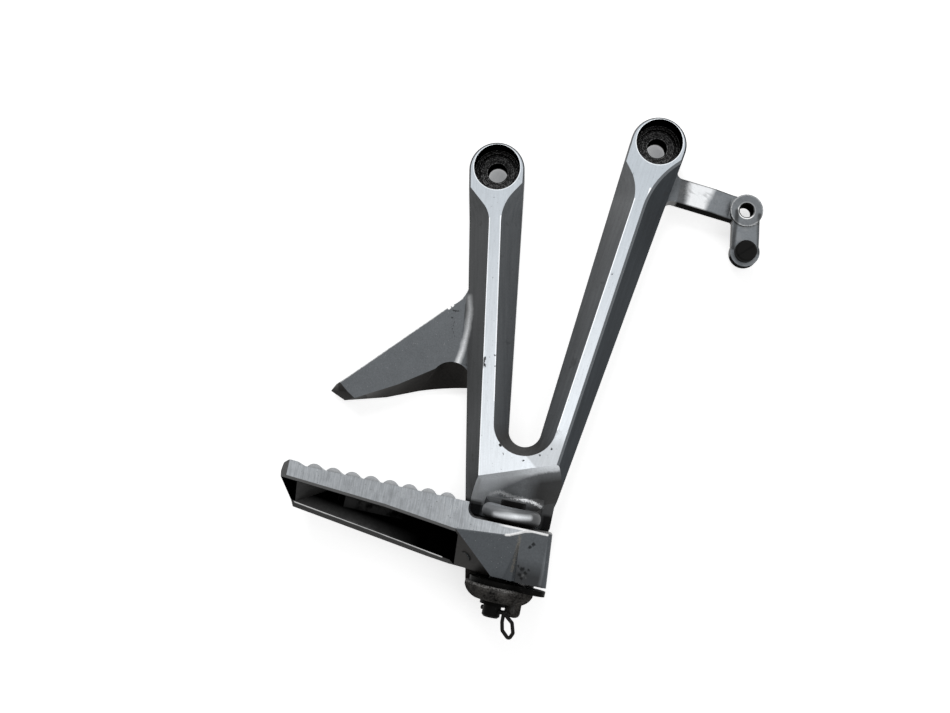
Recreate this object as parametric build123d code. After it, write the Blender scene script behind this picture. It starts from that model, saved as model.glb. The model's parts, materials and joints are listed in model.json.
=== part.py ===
from build123d import *
import math
import os

# Rear footrest of a motorcycle: a cast hanger with a peg that folds back on a clevis pin.
# Millimetres. +X is forwards along the motorcycle, +Y is inboard, +Z is up along the hinge pin.
# The origin lies on the rear bolt bore's axis, on the face that bolts to the frame.

os.makedirs("parts", exist_ok=True)

# Hanger: bosses and bolt holes
boss_t = 22.0              # mounting face to boss face
boss_r = 12.7
boss_drop = 1.2            # the boss's round is centred this far down the arm from the bolt axis
boss_rim = 0.75            # chamfer on the boss's outer rim, less than the metal left above the counterbore
bolt_pitch = 75.0          # between the two bolt axes
bolt_rise = 20.4           # degrees above level, rear bolt to front bolt
bolt_hole_r = 4.5          # clearance for an M8 bolt
bolt_wall = 10.0           # metal under the bolt head
head_bore_r = 10.6
head_step_r = 8.6          # flat seat of the bolt head
head_step = 1.6            # height of the cone between the seat and the bore
back_relief = 2.0          # the arms' back stands off the mounting face

# Hanger: arms. A lean is in degrees from the pin's direction, positive towards the front going down.
rear_outer_lean = 11.3
rear_inner_lean = 8.3
front_inner_lean = -5.2
front_outer_lean = -8.5
rear_strip_lean = 9.61
rear_strip_inner_lean = 9.95
front_strip_lean = -6.75
rear_strip_w = 5.2
front_strip_w = 5.5
crotch_r = 7.43            # bottom of the gap between the arms
crotch_strip_r = 14.2      # edge of the flat front face round that gap
bevel_w = 12.0             # reach of the 45 degree bevels beside the strips

# Where each bevel runs out beside a boss: distance below the bolt axis, turn in degrees, radius
rear_outer_runout = (20.7, 40.0, 12.6)
rear_inner_runout = (17.3, 42.0, 20.0)
front_inner_runout = (22.2, 45.0, 20.0)
front_outer_runout = (17.9, 38.0, 38.0)
runout_lead = 25.0

# Hanger: lower body and scoop
front_side_x = 57.1        # upright front side of the lower body
knee_z = -143.5            # where the front arm's outer side turns upright
knee_r = 14.0
scoop_x = 21.2             # a point of the line where the front face starts to fall away
scoop_z = -139.2
scoop_rise = 19.8          # degrees, that line above level
scoop_l = 17.0
scoop_depth = 6.4
scoop_bulge = 1.0
scoop_edge_x = 20.6        # left edge of the scoop's surface, beside its own bevel
body_corner_r = 5.0        # lower rear corner of the body

# Hinge
pin_x = 39.0
pin_ahead = 6.0            # pin axis in front of the boss faces
pin_r = 4.0
pin_fit = 0.05             # radial clearance in the ears and the hub
pin_head_r = 5.6
pin_head_t = 2.5
pin_point = 5.4            # pin beyond the washer
hinge_gap = 0.8            # between the upper ear and the hub
ear_top_z = -149.7
ear_t = 6.8
ear_r = 13.1
ear_round = 3.0
cove_r = 5.6               # hollow corner between the upper ear and the scoop
hub_h = 23.0
plate_gap = 1.7            # between the hub and the detent plate
plate_t = 2.3
plate_r = 12.3
plate_tab_w = 11.6
plate_tab_l = 4.8          # tab beyond the ball's hole
plate_key_w = 24.0         # flat end against the wall
low_ear_x = 40.2           # the lower ear's round is centred a little forward of the pin
low_ear_r = 15.2
low_ear_t = 6.6
low_ear_side = 2.0         # upright part of the lower ear's side
low_ear_foot_r = 10.4
lug_x = 48.0               # cast lug under the lower ear
lug_y = -24.0
lug_r = 3.5
lug_l = 6.0
wall_t = 6.5               # wall behind the hub
washer_r = 5.8
washer_t = 2.0
cotter_hole_r = 1.1
cotter_wire_r = 0.82
cotter_heading = -30       # degrees, from forwards towards the outer side
cotter_ahead = 6.3         # legs beyond the pin axis on the eye's side
cotter_behind = 5.2
cotter_eye = (0.1, -4.0, 0.9, -7.4, 4.4, -10.6, 5.7, -7.6, 4.4, -3.4)
cotter_bend_r = 1.0

# Spur
spur_front = -11.0         # outer face of the spur
spur_root_z = -54.5        # top of the spur's root on the arm
spur_inside_x = 7.5        # the root ends inside the arm
spur_top = (-8.6, -65.9, -3.6, -61.2, -1.6, spur_root_z)        # hollow where its top edge meets the arm
spur_tip = (-50.9, -110.8, -46.5, -114.3, -42.7, -116.6)        # tip's corners on the outer face
spur_under = (-24.2, -106.2, -9.0, -95.6, -2.4, -91.0, 5.5, -93.4)   # its lower edge and arch
spur_tip_back = (-53.8, -111.7, -55.6, -115.3, -48.3, -118.3)
spur_under_back = (-29.4, -112.9, -14.7, -106.7, -7.3, -104.3, 6.4, -101.0)
spur_cove = 4.2            # hollow corner between the spur and the arm
spur_cove_rise = 2.4

# Strap
strap_y = -11.5            # outer face
strap_t = 9.0
strap_w = 11.2
strap_l = 40.0             # from the boss back into the arm
strap_fall = 5.7           # degrees below level
strap_bend_x = 100.5       # the face dips between here and the boss
strap_dip = 1.8
strap_root_r = 2.8
strap_root_high = 14.5     # heights where the strap's edges meet the arm
strap_root_low = 3.3
link_w = 12.3
link_t = 5.5
strap_boss_x = 116.2
strap_boss_z = 5.2
strap_boss_r = 7.5
strap_boss_h = 1.0         # boss stands above the link
strap_hole_r = 3.15        # clearance for an M6 bolt
strap_hole_rim = 0.5
eye_x = 119.1
eye_z = -13.9
eye_r = 6.7
buffer_r = 4.9
buffer_neck_r = 3.4
buffer_h = 4.6
buffer_fit = 0.05

# Peg
peg_w = 26.0
outer_wall = 2.0
inner_wall = 3.0
tread_z = -150.85
tread_end_x = 20.3         # step between the tread and the hub
tip_x = -63.3
tip_z = -154.8             # lower end of the tip's upright part
tip_crest_z = -149.3
tip_low = (-58.4, -172.5)  # lower rear corner of the channel
tread_t = 3.2
tread_fall = 6.0           # degrees, the tread falls away from its outer side
ridge_n = 8
ridge_first_x = -48.6
ridge_pitch = 8.47
ridge_w = 6.8
ridge_h = 2.0
ridge_margin = 1.2         # flat beside the ridges
tip_round = 4.0            # tip's corners seen from above
hub_step_r = 4.2           # hollow corner between the tread's end and the hub
tread_corner = 6.5         # cut across the tread's inner corner at the hub
cavity_r = 2.4
band_x = (-75.0, -15.0, 50.0)          # stations of the open underside
band_low = (-155.2, -159.5, -167.3)    # lower edge of the outer wall
rim_low = (-165.7, -174.1, -183.5)     # inner edge of the inner wall's rim
back_low = (-168.4, -176.7, -185.8)    # outer edge of that rim
band_rim = 1.5             # height of the outer wall's bevelled end
end_x = -57.7              # the hollow's end at the tip, and how far it slopes inwards and up
end_slope = (12.5, 7.5)
end_skew = 1.5
rib_x = -38.4              # cross rib
rib_t = 1.6
rib_low_z = -165.2
long_rib_x = (-34.6, -8.0)
long_rib_y = 14.0          # long rib's front from the peg's outer side
hub_corner_x = 16.6        # upper rear corner of the hub's outer face
hub_corner_z = -163.2
pad_x = 44.6               # rear side of the raised pad
pad_flank = 4.4            # reach of the slope beside the pad, at its foot
pad_low_z = -160.8         # hub face's upper edge beside the pad
pad_set = 0.5              # pad's face behind the band
pad_curve = (40.2, -161.1, 43.2, -159.8, 46.1, -158.1, 49.5, -157.2)
hub_face_lean = 11.0       # degrees
heel_r = 21.2              # heel's corner radius round the pin
heel_x = 21.0              # heel beyond the pin
heel_draft = 4.8           # degrees
heel_round = 3.6
pip_r = 2.6                # round cast mark on the hub's lower facet
pip_h = 0.5
pip_at = (13.75, 8.5)

# Detent
detent_x = 11.0            # ball from the pin, with the peg folded
detent_y = -5.0
ball_r = 3.175
ball_fit = 0.1
ball_hole_r = 2.4
ball_ride = 0.05           # ball above the plate between two holes
detent_bore_l = 15.0
spring_wire_r = 0.4
spring_turns = 6

# Derived places
front_y = -boss_t
body_y = -back_relief
pin_y = front_y - pin_ahead
front_bolt_x = bolt_pitch * math.cos(math.radians(bolt_rise))
front_bolt_z = bolt_pitch * math.sin(math.radians(bolt_rise))
REAR = (0.0, 0.0)
FRONT = (front_bolt_x, front_bolt_z)
ear_low_z = ear_top_z - ear_t
hub_top_z = ear_low_z - hinge_gap
hub_low_z = hub_top_z - hub_h
plate_top_z = hub_low_z - plate_gap
low_ear_top_z = plate_top_z - plate_t
low_ear_low_z = low_ear_top_z - low_ear_t
washer_low_z = low_ear_low_z - washer_t
pin_end_z = washer_low_z - pin_point
cotter_z = washer_low_z - cotter_hole_r - 1.0
peg_front_y = pin_y - peg_w / 2
peg_back_y = pin_y + peg_w / 2
wall_front_y = -wall_t


def slab(sketch, y_front, y_back):
    """Solid of a front-view sketch between two depths."""
    return extrude(Plane.XZ.offset(-y_back) * sketch, y_back - y_front)


def flat(*points):
    """Front-view face through (x, z) points."""
    return make_face(Polyline(*points, close=True))


def disc(x, z, r):
    """Front-view disc."""
    return Pos(x, z) * Circle(r)


def post(x, y, r, z_low, z_high):
    """Upright cylinder."""
    return Pos(x, y, (z_low + z_high) / 2) * Cylinder(r, z_high - z_low)


def block(x0, x1, y0, y1, z0, z1):
    """Box between two corners."""
    return Pos((x0 + x1) / 2, (y0 + y1) / 2, (z0 + z1) / 2) * Box(x1 - x0, y1 - y0, z1 - z0)


def unit_down(lean):
    """Unit step down a line with this lean, as (x, z)."""
    a = math.radians(lean)
    return math.sin(a), -math.cos(a)


def side_point(centre, lean, offset):
    """Point beside a centre, square to a line with this lean; a positive offset is to the front."""
    a = math.radians(lean)
    return centre[0] + offset * math.cos(a), centre[1] + offset * math.sin(a)


def at_z(point, lean, z):
    """Point at height z on the line through a point."""
    return point[0] + (point[1] - z) * math.tan(math.radians(lean)), z


def meet(p, lean_p, q, lean_q):
    """Crossing of two leaning lines."""
    tp = math.tan(math.radians(lean_p))
    tq = math.tan(math.radians(lean_q))
    z = ((p[0] + p[1] * tp) - (q[0] + q[1] * tq)) / (tp - tq)
    return at_z(p, lean_p, z)


def nearest(items, x, y, z):
    """The edge or vertex whose centre is nearest to a point."""
    return min(items, key=lambda item: (item.center() - Vector(x, y, z)).length)


# Lines of the arms in the front view
rear_step = unit_down(rear_strip_lean)
front_step = unit_down(front_strip_lean)
REAR_BOSS = (boss_drop * rear_step[0], boss_drop * rear_step[1])
FRONT_BOSS = (FRONT[0] + boss_drop * front_step[0], FRONT[1] + boss_drop * front_step[1])
rear_outer = side_point(REAR_BOSS, rear_outer_lean, -boss_r)
rear_inner = side_point(REAR_BOSS, rear_inner_lean, boss_r)
front_inner = side_point(FRONT_BOSS, front_inner_lean, -boss_r)
front_outer = side_point(FRONT_BOSS, front_outer_lean, boss_r)
crotch = meet(rear_inner, rear_inner_lean, front_inner, front_inner_lean)


def runout(centre, strip_lean, strip_w, side, values):
    """Corner and far end of the line where a bevel runs out beside a boss."""
    below, turn, _ = values
    edge = side_point(centre, strip_lean, side * strip_w / 2)
    step = unit_down(strip_lean)
    corner = (edge[0] + below * step[0], edge[1] + below * step[1])
    out = unit_down(strip_lean - side * turn)
    end = (corner[0] - runout_lead * out[0], corner[1] - runout_lead * out[1])
    return corner, end


def bevel(points, radii, side):
    """Cutter for a 45 degree bevel that leaves the front face along a filleted line."""
    path = FilletPolyline(*[(x, front_y, z) for x, z in points], radius=radii)
    start = path @ 0
    ahead = path % 0
    out = Vector(-ahead.Z, 0, ahead.X) * side
    lip = 0.5
    corners = [
        start - out * lip - Vector(0, lip, 0),
        start + out * bevel_w - Vector(0, lip, 0),
        start + out * bevel_w + Vector(0, bevel_w, 0),
    ]
    section = make_face(Polyline(*corners, close=True))
    return sweep(section, path=path)


def counterbore(centre):
    """Cutter for a bolt hole with a stepped seat for the bolt's head."""
    hole = slab(disc(*centre, bolt_hole_r), -boss_t - 1, 1)
    seat_cut = slab(disc(*centre, head_step_r), front_y - 1, -bolt_wall)
    wide = slab(disc(*centre, head_bore_r), front_y - 1, -bolt_wall - head_step)
    return hole + seat_cut + wide


def make_arms():
    """Both arms and the lower body, with their bosses, bevels and scoop."""
    low = ear_low_z
    rear_low = at_z(rear_outer, rear_outer_lean, low)
    knee_top = at_z(front_outer, front_outer_lean, knee_z)
    outline = flat(
        rear_outer,
        rear_low,
        (front_side_x, low),
        (front_side_x, knee_z - 3),
        knee_top,
        front_outer,
        front_inner,
        rear_inner,
    )
    outline = fillet(nearest(outline.vertices(), knee_top[0], knee_top[1], 0), knee_r)
    outline = fillet(nearest(outline.vertices(), rear_low[0], rear_low[1], 0), body_corner_r)
    gap = flat(rear_inner, crotch, front_inner, (front_inner[0], boss_r * 4), (rear_inner[0], boss_r * 4))
    outline -= fillet(nearest(gap.vertices(), crotch[0], crotch[1], 0), crotch_r)
    arms = slab(outline, front_y, body_y)
    for centre in (REAR_BOSS, FRONT_BOSS):
        boss = slab(disc(*centre, boss_r), front_y, 0)
        arms += boss

    # Bevels on both sides of each strip, with their run-outs
    foot_z = low - 12
    rear_corner, rear_end = runout(REAR, rear_strip_lean, rear_strip_w, -1, rear_outer_runout)
    rear_foot = at_z(rear_corner, rear_strip_lean, foot_z)
    arms -= bevel([rear_foot, rear_corner, rear_end], [rear_outer_runout[2]], 1)
    front_corner, front_end = runout(FRONT, front_strip_lean, front_strip_w, 1, front_outer_runout)
    front_foot = at_z(front_corner, front_strip_lean, foot_z)
    arms -= bevel([front_foot, front_corner, front_end], [front_outer_runout[2]], -1)
    a_corner, a_end = runout(REAR, rear_strip_inner_lean, rear_strip_w, 1, rear_inner_runout)
    b_corner, b_end = runout(FRONT, front_strip_lean, front_strip_w, -1, front_inner_runout)
    apex = meet(a_corner, rear_strip_inner_lean, b_corner, front_strip_lean)
    radii = [rear_inner_runout[2], crotch_strip_r, front_inner_runout[2]]
    arms -= bevel([a_end, a_corner, apex, b_corner, b_end], radii, 1)

    # Scoop: the front face falls away above the upper ear
    rise = math.radians(scoop_rise)
    along = Vector(math.cos(rise), 0, math.sin(rise))
    down = Vector(math.sin(rise), 0, -math.cos(rise))
    origin = Vector(scoop_x, front_y, scoop_z) - along * 15
    inward = Vector(0, 1, 0)
    p0 = origin
    p1 = origin + down * (scoop_l / 2) + inward * (scoop_depth / 2 + scoop_bulge)
    p2 = origin + down * scoop_l + inward * scoop_depth
    p3 = p2 + down * 25 + inward * 2
    p4 = p3 - inward * 20
    p5 = origin - inward * 10
    arc = ThreePointArc(p0, p1, p2)
    rest = Polyline(p2, p3, p4, p5, p0)
    section = make_face([arc, rest])
    arms -= extrude(section, 75, dir=along)

    # The scoop's surface has its own bevel towards the rear
    tops = []
    for z, y, x in ((scoop_z, front_y, scoop_edge_x + 0.4), (low - 2, front_y + scoop_depth, scoop_edge_x)):
        tops.append(Wire(Polyline(
            (x + 2, y - 2, z),
            (x - bevel_w, y + bevel_w, z),
            (x - bevel_w, y - 2, z),
            close=True,
        )))
    arms -= Solid.make_loft(tops, ruled=True)

    # Rims of the bosses
    for centre, step in ((REAR_BOSS, rear_step), (FRONT_BOSS, front_step)):
        rim = []
        for edge in arms.edges():
            middle = edge.position_at(0.5)
            away = (middle.X - centre[0], middle.Z - centre[1])
            below = away[0] * step[0] + away[1] * step[1]
            beside = math.hypot(*away) if below < 0 else abs(away[0] * step[1] - away[1] * step[0])
            if abs(middle.Y - front_y) < 0.01 and below < boss_r * 0.6 and abs(beside - boss_r) < 1.2:
                rim.append(edge)
        arms = chamfer(rim, boss_rim)
    return arms


def at_depth(y, pairs):
    """Points at one depth from a flat list of x and z."""
    return [(x, y, z) for x, z in zip(pairs[0::2], pairs[1::2])]


def spur_outline(y, tip, under):
    """Outline of the spur at one depth. Its root lies inside the arm."""
    tip_top, tip_mid, tip_low = at_depth(y, tip)
    knee, arch, crown, end = at_depth(y, under)
    top_end, hollow, root = at_depth(y, spur_top)
    inside_top = (spur_inside_x, y, spur_root_z)
    inside_low = (spur_inside_x + 4, y, under[7])
    return Wire([
        Line(tip_top, top_end),
        ThreePointArc(top_end, hollow, root),
        Line(root, inside_top),
        Line(inside_top, inside_low),
        Line(inside_low, end),
        ThreePointArc(end, crown, arch),
        Line(arch, knee),
        Line(knee, tip_low),
        Line(tip_low, tip_mid),
        Line(tip_mid, tip_top),
    ])


def make_spur():
    """Tapering spur on the rear arm, with a bevelled tip and a sloping underside under an arch."""
    front = spur_outline(spur_front, spur_tip, spur_under)
    back = spur_outline(body_y, spur_tip_back, spur_under_back)
    spur = Solid.make_loft([front, back], ruled=True)

    # Hollow corner where the outer face runs up to the arm
    high = spur_root_z - 5
    low = spur_under[5]
    sections = []
    for z, reach in ((high, spur_cove * 0.25), (low, spur_cove)):
        x = at_z(rear_outer, rear_outer_lean, z)[0]
        start = (x - reach, spur_front, z)
        mid = (x - reach * 0.2, spur_front - spur_cove_rise * 0.35, z)
        end = (x + 1.6, spur_front - spur_cove_rise - 1.0, z)
        behind = (x + 1.6, spur_front + 2, z)
        under = (x - reach, spur_front + 2, z)
        rest = Polyline(end, behind, under, start).edges()
        sections.append(Wire([ThreePointArc(start, mid, end), *rest]))
    return spur + Solid.make_loft(sections, ruled=True)


def make_strap():
    """Strap from the front arm to a round boss, with a link down to the buffer's eye."""
    y_back = strap_y + strap_t
    face_y = strap_y + strap_dip
    fall = math.radians(strap_fall)
    mid = (strap_boss_x - strap_l / 2 * math.cos(fall), strap_boss_z + strap_l / 2 * math.sin(fall))
    band = slab(Pos(*mid) * Rot(0, 0, -strap_fall) * Rectangle(strap_l, strap_w), strap_y, y_back)
    dip = make_face(Polyline(
        (strap_bend_x, strap_y),
        (strap_boss_x - strap_boss_r, face_y),
        (strap_boss_x + strap_boss_r, face_y),
        (strap_boss_x + strap_boss_r, strap_y - 1),
        (strap_bend_x, strap_y - 1),
        close=True,
    ))
    band -= Pos(0, 0, -20) * extrude(dip, 60)
    link_l = math.hypot(eye_x - strap_boss_x, eye_z - strap_boss_z)
    link_a = math.degrees(math.atan2(eye_x - strap_boss_x, strap_boss_z - eye_z))
    link_mid = ((eye_x + strap_boss_x) / 2, (eye_z + strap_boss_z) / 2)
    link = Pos(*link_mid) * Rot(0, 0, link_a) * Rectangle(link_w, link_l) + disc(eye_x, eye_z, eye_r)
    boss = disc(strap_boss_x, strap_boss_z, strap_boss_r)
    strap = band + slab(link, strap_y, strap_y + link_t)
    strap += slab(boss, strap_y - strap_boss_h, y_back)
    strap -= slab(disc(strap_boss_x, strap_boss_z, strap_hole_r), strap_y - 20, 10)
    rim = nearest(strap.edges().filter_by(GeomType.CIRCLE), strap_boss_x, strap_y - strap_boss_h, strap_boss_z)
    strap = chamfer(rim, strap_hole_rim)
    strap -= slab(disc(eye_x, eye_z, buffer_neck_r + buffer_fit), strap_y - 20, 10)
    return strap


def make_ears():
    """Clevis: upper ear, wall behind the hub and bowl-shaped lower ear."""
    tongue = post(pin_x, pin_y, ear_r, ear_low_z, ear_top_z)
    tongue += block(pin_x - ear_r, pin_x + ear_r, pin_y, -8, ear_low_z, ear_top_z)
    rims = [e for e in tongue.edges() if abs(e.center().Z - ear_top_z) < 0.01
            or abs(e.center().Z - ear_low_z) < 0.01]
    rims = [e for e in rims if abs(e.center().Y + 8) > 0.1]
    tongue = fillet(rims, ear_round)

    # Hollow corner above the ear, rounded off towards both sides
    cove_y = front_y + scoop_depth - cove_r - 0.6
    cove = block(pin_x - ear_r, pin_x + ear_r, cove_y, cove_y + cove_r + 4, ear_top_z - 3, ear_top_z + cove_r)
    cove -= Pos(pin_x, cove_y, ear_top_z + cove_r) * Rot(0, 90, 0) * Cylinder(cove_r, 3 * ear_r)
    cove &= post(pin_x, cove_y + cove_r + 6, ear_r + 1.5, ear_top_z - 3, ear_top_z + cove_r)
    tongue += cove

    left_top = at_z(rear_outer, rear_outer_lean, ear_low_z + 6)
    left_low = at_z(rear_outer, rear_outer_lean, low_ear_top_z - low_ear_side)
    right_low = (low_ear_x + low_ear_r, low_ear_top_z - low_ear_side)
    wall = slab(flat(left_top, left_low, right_low, (front_side_x, ear_low_z), (front_side_x, ear_low_z + 6)),
                wall_front_y, 0)

    side_z = low_ear_top_z - low_ear_side
    side_mid = (low_ear_r - 1.7, low_ear_low_z + 2.0)
    profile = make_face([
        Polyline((0, low_ear_low_z), (0, low_ear_top_z), (low_ear_r, low_ear_top_z), (low_ear_r, side_z)),
        ThreePointArc((low_ear_r, side_z), side_mid, (low_ear_foot_r, low_ear_low_z)),
        Line((low_ear_foot_r, low_ear_low_z), (0, low_ear_low_z)),
    ])
    bowl = Pos(low_ear_x, pin_y, 0) * revolve(Plane.XZ * profile, Axis.Z)
    half = extrude(Plane.XZ * profile, -pin_y)
    neck = Pos(low_ear_x, 0, 0) * (half + mirror(half, about=Plane.YZ))
    heel = make_face([
        Polyline((pin_y, low_ear_low_z), (pin_y, low_ear_top_z), (0, low_ear_top_z), (0, side_z)),
        ThreePointArc((0, side_z), (-1.6, low_ear_low_z + 1.6), (-6.0, low_ear_low_z)),
        Line((-6.0, low_ear_low_z), (pin_y, low_ear_low_z)),
    ])
    neck &= extrude(Plane.YZ.offset(low_ear_x - low_ear_r) * heel, 2 * low_ear_r)
    lug = post(lug_x, lug_y, lug_r, low_ear_low_z - lug_l, low_ear_low_z + 1)
    lug = fillet(lug.edges().group_by(Axis.Z)[0], lug_r * 0.6)
    ears = tongue + wall + bowl + neck + lug
    return ears


def make_bracket():
    """The whole hanger casting."""
    bracket = make_arms() + make_strap()
    for z in (strap_root_high, strap_root_low):
        root = at_z(front_outer, front_outer_lean, z)
        upright = [e for e in bracket.edges() if abs(e.tangent_at(0.5).Y) > 0.99]
        bracket = fillet(nearest(upright, root[0], strap_y + strap_t / 2, z), strap_root_r)
    bracket += make_spur() + make_ears()
    for centre in (REAR, FRONT):
        bracket -= counterbore(centre)
    bracket -= post(pin_x, pin_y, pin_r + pin_fit, low_ear_low_z - 5, ear_top_z + 5)
    return bracket


def underside(x, outer, rim, back):
    """Section across the peg of what is cut away below the channel: outer wall's end, opening, rim."""
    y0 = peg_front_y - outer_wall
    y1 = peg_front_y + outer_wall
    y2 = peg_back_y - inner_wall
    y3 = peg_back_y + 8
    return Wire(Polyline(
        (x, y0, outer + band_rim),
        (x, y1, outer - band_rim),
        (x, y2, rim),
        (x, peg_back_y, back),
        (x, y3, back - 7),
        (x, y3, back - 60),
        (x, y0, back - 60),
        close=True,
    ))


def half_space(origin, x_dir, normal, keep):
    """The side of a plane that holds the point keep."""
    plane = Plane(origin=origin, x_dir=x_dir, z_dir=normal)
    towards = Align.MIN if (keep - origin).dot(normal) > 0 else Align.MAX
    return plane * Box(300, 300, 150, align=(Align.CENTER, Align.CENTER, towards))


def make_peg():
    """Footpeg: channel with a ribbed tread, hub and heel."""
    tilt = math.radians(tread_fall)
    inboard = Vector(0, math.cos(tilt), -math.sin(tilt))
    draft = math.tan(math.radians(heel_draft)) * hub_h
    heel_end = pin_x + heel_x
    top = [
        (tip_x, tip_z),
        (tip_x + 0.8, tip_z + 3.6),
        (tip_x + 3.3, tip_crest_z),
        (tip_x + 7.3, tip_crest_z - 0.3),
        (tip_x + 10.7, tread_z),
        (tread_end_x, tread_z),
    ]
    outline = flat(
        *top,
        (tread_end_x, hub_top_z),
        (heel_end - draft, hub_top_z),
        (heel_end, hub_low_z),
        (tread_end_x + 3.7, hub_low_z),
        (tread_end_x - 4.3, hub_low_z - 0.4),
        tip_low,
    )
    for (x, z), r in ((top[1], 2.6), (top[2], 2.6), (top[3], 2.5), (tip_low, 3.0)):
        outline = fillet(nearest(outline.vertices(), x, z, 0), r)
    outline = fillet(nearest(outline.vertices(), tread_end_x, hub_top_z, 0), hub_step_r)
    peg = slab(outline, peg_front_y, peg_back_y)

    # The tip is round in plan, and so is the heel's outer corner
    plan = Pos((tip_x + heel_end) / 2, pin_y) * Rectangle(heel_end - tip_x, peg_w)
    plan = fillet(plan.vertices().group_by(Axis.X)[0], tip_round)
    peg &= Pos(0, 0, tip_low[1] - 20) * extrude(plan, 60)
    peg = fillet(nearest(peg.edges(), heel_end - draft / 2, peg_front_y, (hub_top_z + hub_low_z) / 2), heel_round)

    # The top falls away from the outer side
    above = make_face(Polyline(
        Vector(tip_x - 2, peg_front_y, tip_z),
        *[Vector(x, peg_front_y, z) for x, z in top],
        Vector(tread_end_x + 1, peg_front_y, tread_z),
        Vector(tread_end_x + 1, peg_front_y, tread_z + 10),
        Vector(tip_x - 2, peg_front_y, tread_z + 10),
        close=True,
    ))
    peg -= extrude(above, peg_w + 5, dir=inboard)

    # The heel's inner corner turns inside the wall behind it
    swing = post(pin_x, pin_y, heel_r, hub_low_z - 1, hub_top_z + 1)
    swing += block(tip_x - 5, pin_x, peg_front_y - 5, peg_back_y + 5, hub_low_z - 20, tread_z + 10)
    swing += block(pin_x, heel_end + 5, peg_front_y - 5, pin_y, hub_low_z - 20, tread_z + 10)
    peg &= swing

    # The tread's inner corner clears the hanger's bevel when the peg is folded
    corner = make_face(Polyline(
        (tread_end_x - tread_corner + 0.5, peg_back_y + 1),
        (tread_end_x, peg_back_y - tread_corner),
        (tread_end_x + 7, peg_back_y - tread_corner),
        (tread_end_x + 7, peg_back_y + 1),
        close=True,
    ))
    peg -= Pos(0, 0, hub_top_z) * extrude(corner, 10)

    # Open underside, up to the slanting facet that ends it at the hub
    rings = [underside(*values) for values in zip(band_x, band_low, rim_low, back_low)]
    under = Solid.make_loft(rings, ruled=True)
    keep_corner = Vector(hub_corner_x, peg_front_y, hub_corner_z)
    keep_low = Vector(pin_x - 4.8, peg_front_y + 3.3, hub_low_z + 1.4)
    keep_dir = (keep_low - keep_corner).normalized()
    share = (hub_corner_x - band_x[1]) / (band_x[2] - band_x[1])
    rim_z = back_low[1] + (back_low[2] - back_low[1]) * share
    into = (Vector(hub_corner_x, peg_back_y, rim_z) - keep_corner).normalized()
    normal = keep_dir.cross(into)
    peg -= under & half_space(keep_corner, keep_dir, normal, Vector(tip_x, pin_y, hub_low_z - 20))

    # Hub's outer face leans in towards its foot, from the band's edge to the raised pad
    lean = math.radians(hub_face_lean)
    pad_corner = Vector(pad_x, peg_front_y, pad_low_z)
    face_edge = (pad_corner - keep_corner).normalized()
    face_down = Vector(0, math.sin(lean), -math.cos(lean))
    face_down = (face_down - face_edge * face_down.dot(face_edge)).normalized()
    begin = keep_corner - face_edge * 25
    leaf = make_face(Polyline(
        begin,
        begin + face_down * 30,
        begin + face_down * 30 - Vector(0, 12, 0),
        begin - Vector(0, 12, 0),
        close=True,
    ))
    peg -= extrude(leaf, (pad_corner - begin).length, dir=face_edge)

    # Raised pad over the detent: its face is set back behind the band along a curved edge
    ends = [(pad_curve[i], pad_curve[i + 1]) for i in (0, 2, 4, 6)]
    beside = Polyline(
        ends[3],
        (heel_end + 5, ends[3][1]),
        (heel_end + 5, hub_low_z - 1),
        (pad_x, hub_low_z - 1),
        (pad_x, pad_low_z - pad_set / math.tan(lean)),
        ends[0],
    )
    pad_y = peg_front_y + pad_set
    peg -= slab(make_face([Spline(*ends), beside]), peg_front_y - 5, pad_y)
    foot_y = peg_front_y + (pad_low_z - hub_low_z) * math.tan(lean)
    flank = []
    for z, reach, y in ((pad_low_z, 0.4, pad_y + 0.3), (hub_low_z, pad_flank, foot_y)):
        flank.append(Wire(Polyline(
            (pad_x - reach, y + 0.3, z),
            (pad_x + 0.1, pad_y, z),
            (pad_x + 0.1, y + 0.3, z),
            close=True,
        )))
    peg += Solid.make_loft(flank, ruled=True)

    # Channel under the tread: its end slopes at the tip, a short rib crosses it and a long one lies along it
    cavity = block(
        end_x - 3, tread_end_x - 2.6, peg_front_y + outer_wall, peg_back_y - inner_wall,
        hub_low_z - 20, tread_z,
    )
    cavity = fillet(cavity.edges().filter_by(Axis.Z).group_by(Axis.X)[-1], cavity_r)
    low_end = Vector(end_x, peg_back_y - inner_wall, tip_z - 13.3)
    top_end = Vector(end_x + end_skew, peg_front_y + outer_wall, tip_z - 4.0)
    deep_end = low_end + Vector(end_slope[0], 0, end_slope[1])
    slope = (top_end - low_end).normalized()
    end_normal = slope.cross(deep_end - low_end).normalized()
    cavity &= half_space(low_end, slope, end_normal, Vector(heel_end, pin_y, hub_low_z))
    below = make_face(Polyline(
        Vector(tip_x, peg_front_y, hub_low_z - 40),
        Vector(tread_end_x, peg_front_y, hub_low_z - 40),
        Vector(tread_end_x, peg_front_y, tread_z - tread_t),
        Vector(tip_x, peg_front_y, tread_z - tread_t),
        close=True,
    ))
    cavity &= extrude(below, peg_w + 5, dir=inboard)
    cavity -= block(rib_x - rib_t / 2, rib_x + rib_t / 2, peg_front_y, peg_back_y, rib_low_z + 2, tread_z)
    rib_y = peg_front_y + long_rib_y
    cavity -= block(*long_rib_x, rib_y, rib_y + rib_t, rib_low_z, tread_z)
    peg -= cavity

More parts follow.
